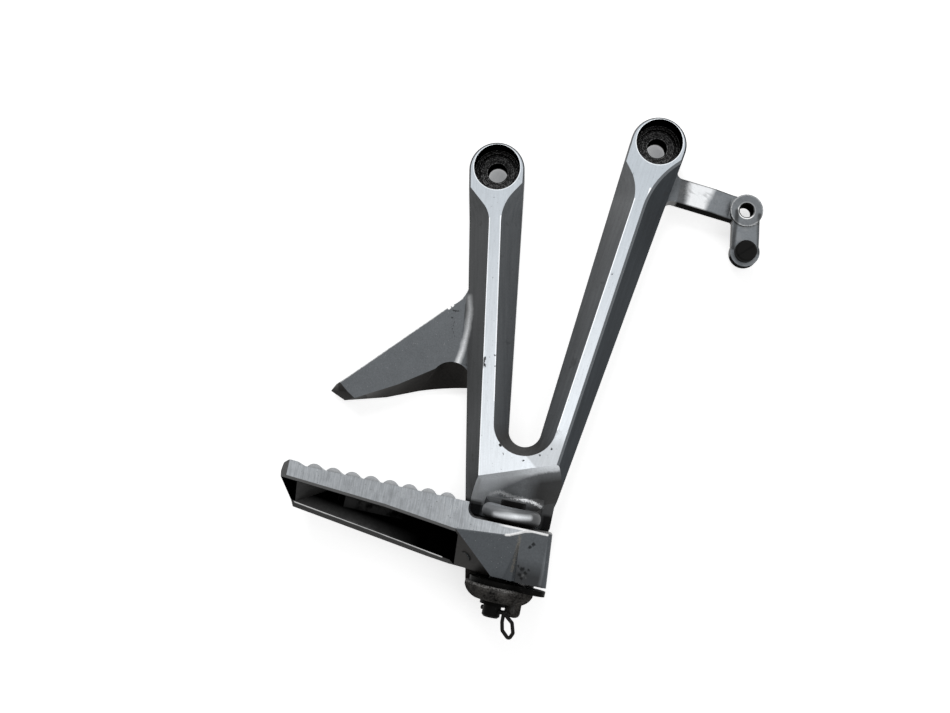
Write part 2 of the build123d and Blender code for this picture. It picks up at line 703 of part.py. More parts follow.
    # Tread ridges across the peg
    for i in range(ridge_n):
        x = ridge_first_x + i * ridge_pitch
        start = Vector(0, peg_front_y, 0) + inboard * ridge_margin
        foot = Vector(x - ridge_w / 2, 0, tread_z) + start
        crest = Vector(x + 0.2, 0, tread_z + ridge_h) + start
        end = Vector(x + ridge_w / 2, 0, tread_z) + start
        sink = Vector(0, 0, -1)
        section = make_face([ThreePointArc(foot, crest, end), Polyline(end, end + sink, foot + sink, foot)])
        ridge = extrude(section, peg_w - 2 * ridge_margin, dir=inboard)
        peg += ridge

    # Round cast mark on the slanting facet
    facet = Plane(origin=keep_corner, x_dir=keep_dir, z_dir=normal)
    peg += facet * Pos(*pip_at) * Cylinder(pip_r, 2 * pip_h)

    peg -= post(pin_x, pin_y, pin_r + pin_fit, hub_low_z - 5, hub_top_z + 5)
    peg -= post(pin_x + detent_x, pin_y + detent_y, ball_r + ball_fit, hub_low_z - 5,
                hub_low_z + detent_bore_l)
    return peg


def make_pin():
    """Headed clevis pin with a cross hole for the cotter."""
    pin = post(pin_x, pin_y, pin_r, pin_end_z, ear_top_z)
    head = post(pin_x, pin_y, pin_head_r, ear_top_z, ear_top_z + pin_head_t)
    head = chamfer(head.edges().group_by(Axis.Z)[-1], 0.4)
    pin += head
    pin = chamfer(pin.edges().group_by(Axis.Z)[0], 0.8)
    hole = Pos(pin_x, pin_y, cotter_z) * Rot(0, 0, cotter_heading) * Rot(0, 90, 0) * Cylinder(cotter_hole_r, 20)
    return pin - hole


def make_washer():
    """Plain washer under the lower ear."""
    washer = post(pin_x, pin_y, washer_r, washer_low_z, low_ear_low_z)
    washer -= post(pin_x, pin_y, pin_r + 0.2, washer_low_z - 1, low_ear_low_z + 1)
    return washer


def make_cotter():
    """Cotter: legs through the pin, their ends spread, and a pointed eye that hangs down."""
    leg_r = cotter_hole_r - 0.1
    heading = math.radians(cotter_heading)
    step = Vector(math.cos(heading), math.sin(heading), 0)
    mouth = Vector(pin_x, pin_y, cotter_z) + step * cotter_ahead
    tail = Vector(pin_x, pin_y, cotter_z) - step * cotter_behind
    centre = (mouth + tail) * 0.5
    legs = Pos(*centre) * Rot(0, 0, cotter_heading) * Rot(0, 90, 0) * Cylinder(leg_r, (mouth - tail).length)
    knot = Pos(*mouth) * Sphere(leg_r + 0.15)
    bends = [mouth + Vector(*point) for point in at_depth(-0.3, cotter_eye)]
    foot = (bends[1] + bends[2]) * 0.5
    near = FilletPolyline(mouth, bends[0], bends[1], foot, radius=cotter_bend_r)
    far = FilletPolyline(mouth, bends[4], bends[3], bends[2], foot, radius=cotter_bend_r)
    cotter = legs + knot
    for half in (near, far):
        profile = Plane(origin=half @ 0, z_dir=half % 0) * Circle(cotter_wire_r)
        cotter += sweep(profile, path=half)
    return cotter


def make_plate():
    """Detent plate, keyed flat against the wall behind it, with a tab under the heel."""
    plate = Pos(pin_x, pin_y) * Circle(plate_r)
    tab_a = math.degrees(math.atan2(detent_y, detent_x))
    reach = math.hypot(detent_x, detent_y)
    tab_l = reach + plate_tab_l
    tab = Pos(tab_l / 2, 0) * Rectangle(tab_l, plate_tab_w) + Pos(tab_l, 0) * Circle(plate_tab_w / 2)
    plate += Pos(pin_x, pin_y) * Rot(0, 0, tab_a) * tab
    key_y = wall_front_y - 0.1
    plate += Pos(pin_x + 2.0, (pin_y + key_y) / 2) * Rectangle(plate_key_w, key_y - pin_y)
    plate -= Pos(pin_x, pin_y) * Circle(pin_r + 0.15)
    plate -= Pos(pin_x + detent_x, pin_y + detent_y) * Circle(ball_hole_r)
    plate -= Pos(pin_x - detent_y, pin_y + detent_x) * Circle(ball_hole_r)
    return extrude(Pos(0, 0, low_ear_top_z) * plate, plate_t)


ball_z = plate_top_z + ball_r + ball_ride


def make_ball():
    """Detent ball at its riding level on the plate."""
    return Pos(pin_x + detent_x, pin_y + detent_y, ball_z) * Sphere(ball_r)


def make_spring():
    """Coil spring between the ball and the end of its bore."""
    radius = ball_r - spring_wire_r - 0.2
    low = ball_z + math.sqrt((ball_r + spring_wire_r) ** 2 - radius**2) + 0.02
    high = hub_low_z + detent_bore_l - spring_wire_r - 0.05
    helix = Helix(pitch=(high - low) / spring_turns, height=high - low, radius=radius)
    profile = Plane(origin=helix @ 0, z_dir=helix % 0) * Circle(spring_wire_r)
    coil = sweep(profile, path=helix)
    return Pos(pin_x + detent_x, pin_y + detent_y, low) * coil


def make_buffer():
    """Push-in buffer: domed head outside, neck through the eye and a flange behind."""
    y_back = strap_y + link_t
    neck = slab(disc(eye_x, eye_z, buffer_neck_r), strap_y, y_back)
    head = slab(disc(eye_x, eye_z, buffer_r), strap_y - buffer_h, strap_y)
    head = chamfer(head.edges().group_by(Axis.Y)[0], 0.8)
    flange = slab(disc(eye_x, eye_z, buffer_r - 0.4), y_back, y_back + 1.4)
    return neck + head + flange


NODES = {
    "bracket": make_bracket,
    "footpeg": make_peg,
    "hinge_pin": make_pin,
    "pin_washer": make_washer,
    "split_pin": make_cotter,
    "detent_plate": make_plate,
    "detent_ball": make_ball,
    "detent_spring": make_spring,
    "rubber_buffer": make_buffer,
}

for name, make in NODES.items():
    solid = make()
    export_step(solid, f"parts/{name}.step")
    print(name, len(solid.solids()), "solid", round(solid.volume), "mm3")
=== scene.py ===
# %% [markdown]
# # A motorcycle's rear footrest
#
# This lesson dresses a finished CAD model: a cast aluminium hanger with two arms, and a ribbed footpeg that
# folds on a steel pin. The shapes come from the CAD frame, so the work here is the camera, the light and
# the finishes: a brushed front face, duller bevels, rough castings, greasy steel and a rubber plug.

# %% Load the frame and note its size
import json
import math

import bpy
import numpy as np
from mathutils import Matrix, Vector

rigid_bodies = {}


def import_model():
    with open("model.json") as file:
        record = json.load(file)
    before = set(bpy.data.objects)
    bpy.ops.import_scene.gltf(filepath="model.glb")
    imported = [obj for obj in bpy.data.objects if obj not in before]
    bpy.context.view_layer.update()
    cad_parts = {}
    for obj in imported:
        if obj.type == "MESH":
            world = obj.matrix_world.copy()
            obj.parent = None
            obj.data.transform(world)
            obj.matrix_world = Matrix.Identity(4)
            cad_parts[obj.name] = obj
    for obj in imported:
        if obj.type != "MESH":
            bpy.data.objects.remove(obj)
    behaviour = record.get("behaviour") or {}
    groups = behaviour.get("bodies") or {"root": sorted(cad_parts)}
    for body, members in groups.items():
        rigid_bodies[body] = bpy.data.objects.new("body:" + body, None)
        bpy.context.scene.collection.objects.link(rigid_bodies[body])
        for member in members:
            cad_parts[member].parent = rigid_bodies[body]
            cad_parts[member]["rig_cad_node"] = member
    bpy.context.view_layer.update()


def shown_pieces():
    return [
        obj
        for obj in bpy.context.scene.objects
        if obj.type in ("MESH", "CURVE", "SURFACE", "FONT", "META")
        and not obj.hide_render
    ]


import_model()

# %% [markdown]
# ## Camera
#
# The part was photographed from above while it lay on its mounting face. In the part's frame that is a
# camera in front of it, a little below the foot of the gap, and rolled by about twelve degrees. The three
# axes below are the camera's own right, up and back directions, measured from the holes and the arms.

# %% Camera at the photograph's place
IMAGE_W = 950
FOCAL_PX = 1215.0
SENSOR_MM = 36.0
EYE = Vector((0.04127, -0.5670, -0.13474))
RIGHT = Vector((0.97710, 0.04092, 0.20882))
UP = Vector((-0.20413, -0.09699, 0.97413))
BACK = Vector((0.06012, -0.99444, -0.08641))

camera_data = bpy.data.cameras.new("camera")
camera_data.sensor_width = SENSOR_MM
camera_data.lens = FOCAL_PX / IMAGE_W * SENSOR_MM
camera = bpy.data.objects.new("camera", camera_data)
turn = Matrix((RIGHT, UP, BACK)).transposed().to_4x4()
camera.matrix_world = Matrix.Translation(EYE) @ turn
bpy.context.scene.collection.objects.link(camera)
bpy.context.scene.camera = camera
bpy.context.scene.view_settings.view_transform = "Standard"
print("lens", round(camera_data.lens, 2), "mm")

# %% [markdown]
# ## Writing shader maths as Python
#
# A finish is a formula: where a face points, how near a point is to a hole, and some noise. Wiring dozens
# of nodes by hand hides that formula, so one small class wraps a socket and lets Python's operators add
# the Math nodes. The soft steps over, under and between are the masks that the whole lesson is made of.
# They clamp with a Clamp node. A Math node has a box for it too, but with that box ticked the hanger came
# out black, most likely because Cycles has little room for the values that it holds at once.


# %% Numbers with operators
class Value:
    """A number socket: arithmetic on it adds one Math node to the same tree."""

    def __init__(self, tree, socket):
        self.tree = tree
        self.socket = socket

    def _math(self, operation, *terms):
        return self.tree.node("ShaderNodeMath", {"operation": operation}, dict(enumerate(terms))).value(0)

    def __add__(self, other):
        return self._math("ADD", self, other)

    def __sub__(self, other):
        return self._math("SUBTRACT", self, other)

    def __rsub__(self, other):
        return self._math("SUBTRACT", other, self)

    def __mul__(self, other):
        return self._math("MULTIPLY", self, other)

    def __truediv__(self, other):
        return self._math("DIVIDE", self, other)

    def __rtruediv__(self, other):
        return self._math("DIVIDE", other, self)

    __radd__ = __add__
    __rmul__ = __mul__

    def abs(self):
        return self._math("ABSOLUTE", self)

    def sqrt(self):
        return self._math("SQRT", self)

    def least(self, other):
        return self._math("MINIMUM", self, other)

    def most(self, other):
        return self._math("MAXIMUM", self, other)

    def clamp(self):
        """Hold between 0 and 1."""
        return self.tree.node("ShaderNodeClamp", None, {"Value": self}).value(0)

    def over(self, edge, soft):
        """1 where the value is over the edge, 0 under it, with a ramp of this width between."""
        return ((self - edge) / soft + 0.5).clamp()

    def under(self, edge, soft):
        """1 where the value is under the edge."""
        return 1 - self.over(edge, soft)

    def between(self, low, high, soft):
        """1 between two edges."""
        return self.over(low, soft) * self.under(high, soft)


print("Value: arithmetic, abs, sqrt, least, most, clamp, over, under, between")

# %% [markdown]
# Every node, in a material or in the world, is added by one method. It takes the node's type, then its
# settings, then what its sockets get: plain values or links. Settings come first because some of them
# change which sockets a node has.


# %% One way to add a node
class Made:
    """A node that was just made; its outputs come out by name or number."""

    def __init__(self, tree, node):
        self.tree = tree
        self.node = node

    def value(self, name):
        return Value(self.tree, self.node.outputs[name])


class Tree:
    """A node tree, in a material or in the world."""

    def __init__(self, node_tree):
        self.nodes = node_tree.nodes
        self.links = node_tree.links

    def feed(self, node, socket, given):
        """Link a value to a socket, or set it; a colour of three numbers gets its alpha of 1."""
        if isinstance(given, Value):
            self.links.new(given.socket, node.inputs[socket])
        else:
            wide = node.inputs[socket].type == "RGBA" and len(given) == 3
            node.inputs[socket].default_value = (*given, 1) if wide else given

    def node(self, kind, settings=None, inputs=None):
        """Add a node: its settings first, then its sockets' values or links."""
        node = self.nodes.new(kind)
        for name, setting in (settings or {}).items():
            setattr(node, name, setting)
        for socket, given in (inputs or {}).items():
            self.feed(node, socket, given)
        return Made(self, node)

    def tell(self, what):
        """Print what a cell made, with the number of nodes so far."""
        print(what, "-", len(self.nodes), "nodes so far")


print("Tree: feed, node, tell")

# %% [markdown]
# A finish depends on the place on the part and on the way that a face points. Object coordinates give the
# place in metres from the part's origin, which is the rear bolt's axis on the mounting face. The class
# below turns them into millimetres, and adds the distances in the front view that most masks start from.


# %% Places and distances on a surface
class Surface(Tree):
    """A material's tree with the place in millimetres and the face's direction at hand."""

    def __init__(self, name):
        self.material = bpy.data.materials.new(name)
        self.material.use_nodes = True
        super().__init__(self.material.node_tree)
        self.shader = self.nodes["Principled BSDF"]
        self.output = self.nodes["Material Output"]
        coordinates = self.node("ShaderNodeTexCoord")
        self.place = coordinates.value("Object")
        split = self.node("ShaderNodeSeparateXYZ", None, {0: self.place})
        self.x, self.y, self.z = (split.value(axis) * 1000 for axis in "XYZ")
        facing = self.node("ShaderNodeSeparateXYZ", None, {0: coordinates.value("Normal")})
        self.nx, self.ny, self.nz = (facing.value(axis) for axis in "XYZ")

    def distance(self, x, z):
        """Distance in the front view from the line along Y through (x, z), in millimetres."""
        dx = self.x - x
        dz = self.z - z
        return (dx * dx + dz * dz).sqrt()

    def line(self, *points):
        """Distance from a chain of (x, z) points: each stretch's nearest point is its clamped foot."""
        nearest = None
        for (x0, z0), (x1, z1) in zip(points, points[1:]):
            dx, dz = x1 - x0, z1 - z0
            along = (((self.x - x0) * dx + (self.z - z0) * dz) / (dx * dx + dz * dz)).clamp()
            off_x = self.x - x0 - along * dx
            off_z = self.z - z0 - along * dz
            away = (off_x * off_x + off_z * off_z).sqrt()
            nearest = away if nearest is None else nearest.least(away)
        return nearest

    def spots(self, *places):
        """Distance from the nearest edge of a few discs (x, z, radius); below zero inside."""
        nearest = None
        for x, z, radius in places:
            away = self.distance(x, z) - radius
            nearest = away if nearest is None else nearest.least(away)
        return nearest

    def facing(self, *direction):
        """How squarely a face looks in a direction: 1 straight on, 0 side on."""
        length = math.sqrt(sum(d * d for d in direction))
        return sum(n * (d / length) for n, d in zip((self.nx, self.ny, self.nz), direction))


print("Surface: x, y, z, nx, ny, nz, distance, line, spots, facing")

# %% [markdown]
# Wear is never even. Noise gives it: stretched noise for brushing, round noise for cast skin and smears,
# noise on one distance for the rings that a tool left, and a Voronoi pattern for a few loose specks. A
# Mapping node turns the noise to lie along an arm before another one stretches it.


# %% Noise, rings and specks
class Worn(Surface):
    """A surface with the patterns that wear and dirt need."""

    def _level(self, noise):
        """The number that a Noise node gives, under its short or its long name."""
        return noise.value("Fac" if "Fac" in noise.node.outputs else "Factor")

    def noise(self, size_mm, detail=3.0, rough=0.55, stretch=(1, 1, 1), turn_deg=0.0, shift=0.0):
        """Noise from 0 to 1 whose lumps are about this size; stretch lengthens them along an axis."""
        turned = self.node("ShaderNodeMapping", {"vector_type": "POINT"}, {
            "Vector": self.place, "Rotation": (0, math.radians(turn_deg), 0)})
        mapped = self.node("ShaderNodeMapping", {"vector_type": "POINT"}, {
            "Vector": turned.value(0), "Location": (shift, shift * 1.7, -shift),
            "Scale": [1000.0 / (size_mm * s) for s in stretch]})
        return self._level(self.node("ShaderNodeTexNoise", None, {
            "Vector": mapped.value(0), "Scale": 1.0, "Detail": detail, "Roughness": rough}))

    def rings(self, away, width_mm, seed):
        """Noise from 0 to 1 that runs in rings: it depends on one distance only."""
        return self._level(self.node("ShaderNodeTexNoise", {"noise_dimensions": "1D"}, {
            "W": away + seed, "Scale": 1.0 / width_mm, "Detail": 2.0}))

    def specks(self, size_mm, chance, shift=0.0):
        """1 on a few small round spots: the cells of a Voronoi pattern that win a draw."""
        mapped = self.node("ShaderNodeMapping", None, {
            "Vector": self.place, "Location": (shift, -shift, shift * 0.6), "Scale": [1000.0 / size_mm] * 3})
        cell = self.node("ShaderNodeTexVoronoi", None, {"Vector": mapped.value(0), "Scale": 1.0})
        draw = self.node("ShaderNodeTexWhiteNoise", None, {"Vector": cell.value("Position")}).value("Value")
        return cell.value("Distance").under(0.3, 0.2) * draw.under(chance, 0.001)


print("Worn: noise, rings, specks")

# %% [markdown]
# Colours are laid over each other with Mix nodes, because a Math node would turn them grey. Metal alone
# can't be truly black: it mirrors the white studio at a shallow angle. So thick dirt is a second, dull
# shader, and a mask mixes it over the metal.


# %% Colours, metal and dirt
DIRT_ROUGH = 0.8


class Finish(Worn):
    """One finish: its colours are mixed here, and fed to the shader at the end."""

    def mix(self, mask, under, over):
        """Colour: the first where the mask is 0, the second where it is 1."""
        return self.node("ShaderNodeMix", {"data_type": "RGBA"}, {0: mask, 6: under, 7: over}).value(2)

    def tint(self, colour, amount):
        """Colour times a number: a mix from black whose factor may pass 1."""
        return self.node("ShaderNodeMix", {"data_type": "RGBA", "clamp_factor": False}, {
            0: amount, 6: (0, 0, 0), 7: colour}).value(2)

    def finish(self, colour, rough, metal, relief, relief_mm):
        """Feed the shader; the relief is a number from 0 to 1, times a depth in millimetres."""
        self.feed(self.shader, "Base Color", colour)
        self.feed(self.shader, "Roughness", rough)
        self.feed(self.shader, "Metallic", metal)
        bump = self.node("ShaderNodeBump", None, {
            "Height": relief, "Distance": relief_mm / 1000, "Strength": 1.0})
        self.feed(self.shader, "Normal", bump.value("Normal"))
        return self.material

    def soil(self, mask, colour):
        """Lay a dull coat of dirt over the metal where the mask is 1."""
        dirt = self.node("ShaderNodeBsdfPrincipled", None, {
            "Base Color": colour, "Roughness": DIRT_ROUGH, "Specular IOR Level": 0.0})
        metal = Value(self, self.shader.outputs[0])
        both = self.node("ShaderNodeMixShader", None, {0: mask, 1: metal, 2: dirt.value(0)})
        self.feed(self.output, "Surface", both.value(0))


print("Finish: mix, tint, finish, soil")

# %% [markdown]
# The levels below are plain greys from 0 to 255, changed until the picture came close to the photograph,
# with a hint of blue or brown. A shader works in linear light, so one function turns a level into it.
# Another puts a finished material on a CAD node, whose mesh keeps its shape.


# %% Grey levels and dressing a node
def grey(level, warm=0.0):
    """A grey in linear light from an 8-bit level; warm tips it towards yellow, below zero to blue."""
    linear = (level / 255) ** 2.2
    return (linear * (1 + warm), linear, linear * (1 - warm))


def dress(node_name, material):
    """Put a material on a CAD node, in place of the plain one that it came with."""
    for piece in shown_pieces():
        if piece.get("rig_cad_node") == node_name:
            piece.data.materials.clear()
            piece.data.materials.append(material)
            print("dressed", node_name, "with", material.name, "on", len(piece.data.polygons), "faces")


print("a mid grey of 128 in linear light:", [round(part, 3) for part in grey(128)])

# %% [markdown]
# ## The hanger
#
# The hanger is one casting, yet it shows many finishes. The flat front face was brushed bright, and is
# painted lighter towards its foot, a painted reflection. The bevels beside it stayed duller, and each is
# painted with a shade of its own. The counterbores and the hinge collected grease. The back and the spur
# kept their cast skin. Each finish needs to know where the arms and their edges run, so these lines come
# first, as (x, z) in millimetres from the rear bolt.

# %% Hanger: where the arms and their edges run
FACE_Y = -22.0
REAR_BOLT = (0.0, 0.0)
FRONT_BOLT = (70.3, 26.1)
STRAP_BOLT = (116.2, 5.2)
PIN_X = 39.0
REAR_LEAN, FRONT_LEAN = 9.61, -6.75
REAR_OUTER_EDGE = ((1.4, -24.0), (20.9, -139.0))
REAR_INNER_EDGE = ((6.5, -22.0), (21.0, -105.0))
FRONT_INNER_EDGE = ((64.2, -2.0), (51.2, -112.0))
FRONT_OUTER_EDGE = ((70.4, 4.0), (54.9, -127.0))
SCOOP_Z = (-152.0, -126.0)
SPUR_Z = (-122.0, -84.0)
UPPER_EAR_X = (25.0, 53.0)
UPPER_EAR_Z = (-157.2, -149.0)
STRAP_FROM_X = 84.0
print("bolts", round(math.dist(REAR_BOLT, FRONT_BOLT), 1), "mm apart")

# %% [markdown]
# The first masks tell the front face, the scoop, the bevels, the sides and the back from each other. The
# face's direction does most of it: the face looks straight forward, a bevel looks half aside, and the scoop
# leans down.

# %% Hanger: masks from where a face points
hanger = Finish("hanger_casting")
face = hanger.ny.under(-0.97, 0.02) * hanger.y.under(FACE_Y + 0.4, 0.2)
on_scoop = hanger.z.between(*SCOOP_Z, 0.5) * hanger.nz.under(-0.12, 0.06) * hanger.nx.abs().under(0.55, 0.1)
on_scoop = on_scoop * hanger.ny.under(-0.45, 0.1) * hanger.y.under(-11.0, 0.5) * hanger.x.under(60.0, 0.5)
bevel = hanger.ny.between(-0.86, -0.5, 0.1) * (1 - on_scoop) * hanger.y.under(-9.5, 0.3)
towards_front = hanger.nx.over(0.0, 0.2)
on_front_arm = hanger.x.over(37.0, 2.0)
side = hanger.ny.abs().under(0.4, 0.1)
back = hanger.ny.over(0.8, 0.1)
hanger.tell("masks: face, scoop, bevel, side, back")

# %% [markdown]
# The brushing runs along each arm, so it is noise stretched along a line that leans with the arm. The cast
# skin, the fine grain and the large smudges are round noise of three sizes. Grain and smudge are also kept
# as numbers about zero, to make an edge wander.

# %% Hanger: brushing, cast skin, streaks and pits
brushed_rear = hanger.noise(0.6, 3.0, 0.65, (1, 1, 16), REAR_LEAN)
brushed_front = hanger.noise(0.6, 3.0, 0.65, (1, 1, 16), FRONT_LEAN, 3.0)
brushed = brushed_rear * (1 - on_front_arm) + brushed_front * on_front_arm
streak_rear = hanger.noise(1.6, 3.0, 0.55, (1, 1, 16), REAR_LEAN, 6.0)
streak_front = hanger.noise(1.6, 3.0, 0.55, (1, 1, 16), FRONT_LEAN, 7.0)
streaks = streak_rear * (1 - on_front_arm) + streak_front * on_front_arm
skin = hanger.noise(0.9, 4.0, 0.6, shift=2.2)
grain = hanger.noise(0.7, 3.0, 0.75, shift=9.2)
smudge = hanger.noise(7.0, 5.0, 0.62, shift=4.1)
grain_sway = grain - 0.5
smudge_sway = smudge - 0.5
pits = (hanger.noise(1.3, 2.0, 0.5, (1, 1, 1.6), REAR_LEAN, 12.0) + 0.25 * grain).over(0.90, 0.04)
fine_pits = hanger.noise(0.8, 1.0, 0.5, shift=14.0).over(0.74, 0.04)
hanger.tell("patterns: brushing, streaks, skin, grain, smudges, pits")

# %% [markdown]
# The front face is the brightest metal. It is painted lighter from the bolts to its foot, a painted
# reflection. Beyond a slanting line near the gap's foot it is greyer, and a smoky smear lies there.

# %% Hanger: the bright front face
# Painted reflection: the flat face's grey rises from the bolts towards its foot.
face_light_gradient = hanger.z.under(-60.0, 140.0)
bright = hanger.mix(face_light_gradient, grey(168, -0.08), grey(217, -0.05))
past_line = (hanger.x - 40.1) * 0.616 + (hanger.z + 126.4) * 0.788
greyer = past_line.over(0.0, 0.8) * hanger.z.under(-116.0, 6.0)
bright = hanger.mix(greyer * (0.35 + 0.5 * grain), bright, grey(158, -0.04))
bright = hanger.tint(bright, 0.74 + 0.3 * brushed + 0.2 * grain)
smoky_line = hanger.line((41.0, -120.5), (47.0, -117.5), (51.0, -112.5))
smoky = (smoky_line + 6.0 * grain_sway + 4.0 * smudge_sway).under(0.8, 3.0)
bright = hanger.mix(smoky * 0.55, bright, grey(96))
bright = hanger.mix(fine_pits * 0.4, bright, grey(120))
bright = hanger.mix(pits * 0.75, bright, grey(60))
hanger.tell("front face")

# %% [markdown]
# A few chips look almost black, and the longest one runs down the rear arm's edge. Each starts as a disc
# or a short line, and the grain breaks its outline. Where the face meets a bevel or a bolt's bore, a
# painted highlight runs along the edge, almost white.

# %% Hanger: chips and painted highlights on the face's edges
CHIPS = ((13.2, -90.3, 0.7), (17.1, -85.0, 0.25), (18.0, -89.7, 0.3), (12.9, -87.6, 0.35), (61.2, -38.0, 0.3),
         (50.4, -120.9, 0.35), (39.2, -128.6, 0.35), (46.0, -124.8, 0.25), (27.6, -124.0, 0.6),
         (30.0, -127.5, 0.35))
LONG_CHIP = ((12.9, -87.2), (12.6, -91.2))
LONG_CHIP_R = 0.5
chips = hanger.spots(*CHIPS).least(hanger.line(*LONG_CHIP) - LONG_CHIP_R)
chipped = (chips + 2.4 * grain_sway).under(0.05, 0.25) * chips.under(0.4, 0.3)
bright = hanger.mix(chipped * 0.9, bright, grey(30))
rims = hanger.line(*REAR_OUTER_EDGE).least(hanger.line(*REAR_INNER_EDGE))
rims = rims.least(hanger.line(*FRONT_INNER_EDGE)).least(hanger.line(*FRONT_OUTER_EDGE))
# Painted highlight along the face's edges with the bevels.
edge_highlight = rims.under(0.22 + 0.25 * smudge, 0.25)
bright = hanger.mix(edge_highlight * 0.8, bright, (0.93, 0.95, 0.98))
reach = hanger.distance(*REAR_BOLT).least(hanger.distance(*FRONT_BOLT))
# Painted highlight round the face's edge at each bolt's bore.
bore_edge_highlight = reach.between(10.4, 10.9, 0.25) * (0.1 + 0.9 * smudge).clamp()
bright = hanger.mix(bore_edge_highlight, bright, (0.9, 0.93, 0.96))
hanger.tell("%d chips, rubbed edges" % (len(CHIPS) + 1))

# %% [markdown]
# The light falls on the four bevels at different angles, so each is painted with a shade of its own grey.
# The front arm's inner bevel is painted lighter towards its top, and the faces that look up at the gap's
# foot get a painted grey of their own. Streaks along the arm and a few brown smears break them up.

# %% Hanger: bevels
# Painted shade: each bevel's grey stands for the light it gets at its own angle.
REAR_OUTER, REAR_INNER = grey(77, -0.03), grey(96, -0.06)
FRONT_INNER_HIGH, FRONT_INNER_LOW, FRONT_OUTER = grey(108, -0.03), grey(98, -0.05), grey(61, -0.12)
rear_bevel = hanger.mix(towards_front, REAR_OUTER, REAR_INNER)
# Painted light: the front arm's inner bevel is lighter towards its top.
front_inner = hanger.mix(hanger.z.under(-50.0, 110.0), FRONT_INNER_HIGH, FRONT_INNER_LOW)
front_bevel = hanger.mix(towards_front, front_inner, FRONT_OUTER)
bevel_shade_and_wear = hanger.mix(on_front_arm, rear_bevel, front_bevel)
# Painted shade for the faces that look up at the gap's foot.
gap_foot = hanger.nz.over(0.3, 0.4) * hanger.z.under(-108.0, 6.0)
bevel_shade_and_wear = hanger.mix(gap_foot, bevel_shade_and_wear, grey(70))
bevel_shade_and_wear = hanger.tint(bevel_shade_and_wear, 0.5 + 0.56 * streaks + 0.44 * grain)
bevel_shade_and_wear = hanger.mix(smudge.over(0.66, 0.08) * 0.35, bevel_shade_and_wear, grey(52, 0.06))
hanger.tell("four bevels")

# %% [markdown]
# The spur is a rough casting in a bluish grey. Dark flecks sit where it meets the arm, its top edge has a
# thin painted highlight with a spot knocked bright near the arm, and the facet at its tip is brown and dull.

# %% Hanger: spur
SPUR_TOP = ((-50.9, -110.8), (-8.6, -65.9), (-3.6, -61.2))
TIP_FACET_X = -38.0
spur_tone = hanger.tint(grey(93, -0.07), 0.36 + 0.35 * skin + 0.6 * grain + 0.3 * smudge)
spur_tone = hanger.mix((skin + 0.4 * grain).over(0.92, 0.05) * 0.45, spur_tone, grey(40))
spur_tone = hanger.mix(hanger.specks(0.5, 0.03, 3.9) * 0.35, spur_tone, grey(160))
flecks = hanger.line((-6.6, -67.6), (-4.2, -67.4)).least(hanger.line((-6.9, -70.8), (-6.3, -71.2))) - 0.25
flecks = flecks.least(hanger.line((-5.0, -72.2), (-5.4, -75.6), (-3.6, -79.0)) - 0.02)
flecked = (flecks + 1.6 * grain_sway).under(0.0, 0.35)
spur_tone = hanger.mix(flecked * 0.8, spur_tone, grey(22))
# Painted highlight along the spur's top edge.
spur_edge_highlight = (hanger.line(*SPUR_TOP) - 0.4 * smudge).under(0.1, 0.35) * grain.over(0.42, 0.2)
spur_tone = hanger.mix(spur_edge_highlight * 0.8, spur_tone, grey(225))
knock = hanger.spots((-8.8, -66.6, 0.7), (-7.4, -65.4, 0.5))
spur_tone = hanger.mix((knock + 1.6 * grain_sway).under(0.1, 0.3) * 0.9, spur_tone, grey(240))
tip_facet = hanger.x.under(TIP_FACET_X, 0.5) * hanger.ny.over(-0.93, 0.05)
spur_tone = hanger.mix(tip_facet, spur_tone, hanger.tint(grey(50, 0.04), 0.6 + 0.8 * skin))
hanger.tell("spur")

# %% [markdown]
# The hollow corner between spur and arm gets a painted highlight: a streak that is brightest in its lower
# half and ragged at its edges.

# %% Hanger: painted highlight in the corner beside the spur
CORNER_STREAK = ((-0.6, -60.5), (1.2, -66.0), (1.9, -74.6), (1.5, -84.0), (0.4, -91.0))
# Painted highlight: a bright streak in the hollow corner between spur and arm.
from_streak = hanger.line(*CORNER_STREAK) + 1.2 * grain_sway
corner_highlight = 1 - (from_streak / (1.0 + 2.0 * smudge)).clamp()
corner_highlight = corner_highlight * (0.35 + 0.65 * hanger.z.under(-66.0, 16.0)) * (0.1 + 1.5 * grain).clamp()
corner_highlight = corner_highlight * hanger.y.under(-9.0, 0.5) * hanger.x.under(5.0, 1.0)
hanger.tell("highlit corner")

# %% [markdown]
# Now the first layers go on from the bottom up: the spur's tone everywhere, then bevels, sides, the painted
# highlight in the corner, the arch under the spur with painted shade and some dirt, the back and last the
# bright face.

# %% Hanger: the first layers of colour
colour = hanger.mix(bevel, spur_tone, bevel_shade_and_wear)
flank = hanger.tint(grey(60, 0.02), 0.6 + 0.5 * skin + 0.3 * grain)
colour = hanger.mix(side, colour, flank)
colour = hanger.mix(corner_highlight, colour, grey(216, -0.02))
# Painted shade with some dirt on the spur's underside, which looks down.
spur_under = hanger.nz.under(-0.25, 0.15) * hanger.x.under(11.0, 1.0) * hanger.z.between(*SPUR_Z, 0.5)
arch_shade_and_dirt = hanger.tint(grey(52, 0.07), 0.1 + skin + 0.8 * smudge * grain)
colour = hanger.mix(spur_under, colour, arch_shade_and_dirt)
back_tone = hanger.tint(grey(124), 0.35 + 0.5 * skin + 0.5 * smudge + 0.3 * grain)
colour = hanger.mix(back, colour, back_tone)
colour = hanger.mix(face, colour, bright)
hanger.tell("spur, bevels, sides, back and face laid")

# %% [markdown]
# The scoop above the upper ear leans down, and its light and shade are painted: it starts as bright as the
# face and falls off to a mottled mid grey. The painted light lasts longest on the left, where a lighter
# painted patch also stays low down, and the lower right is painted darkest. A thin painted highlight runs
# down its left side. The slope is measured down from the slanting line where the scoop begins.

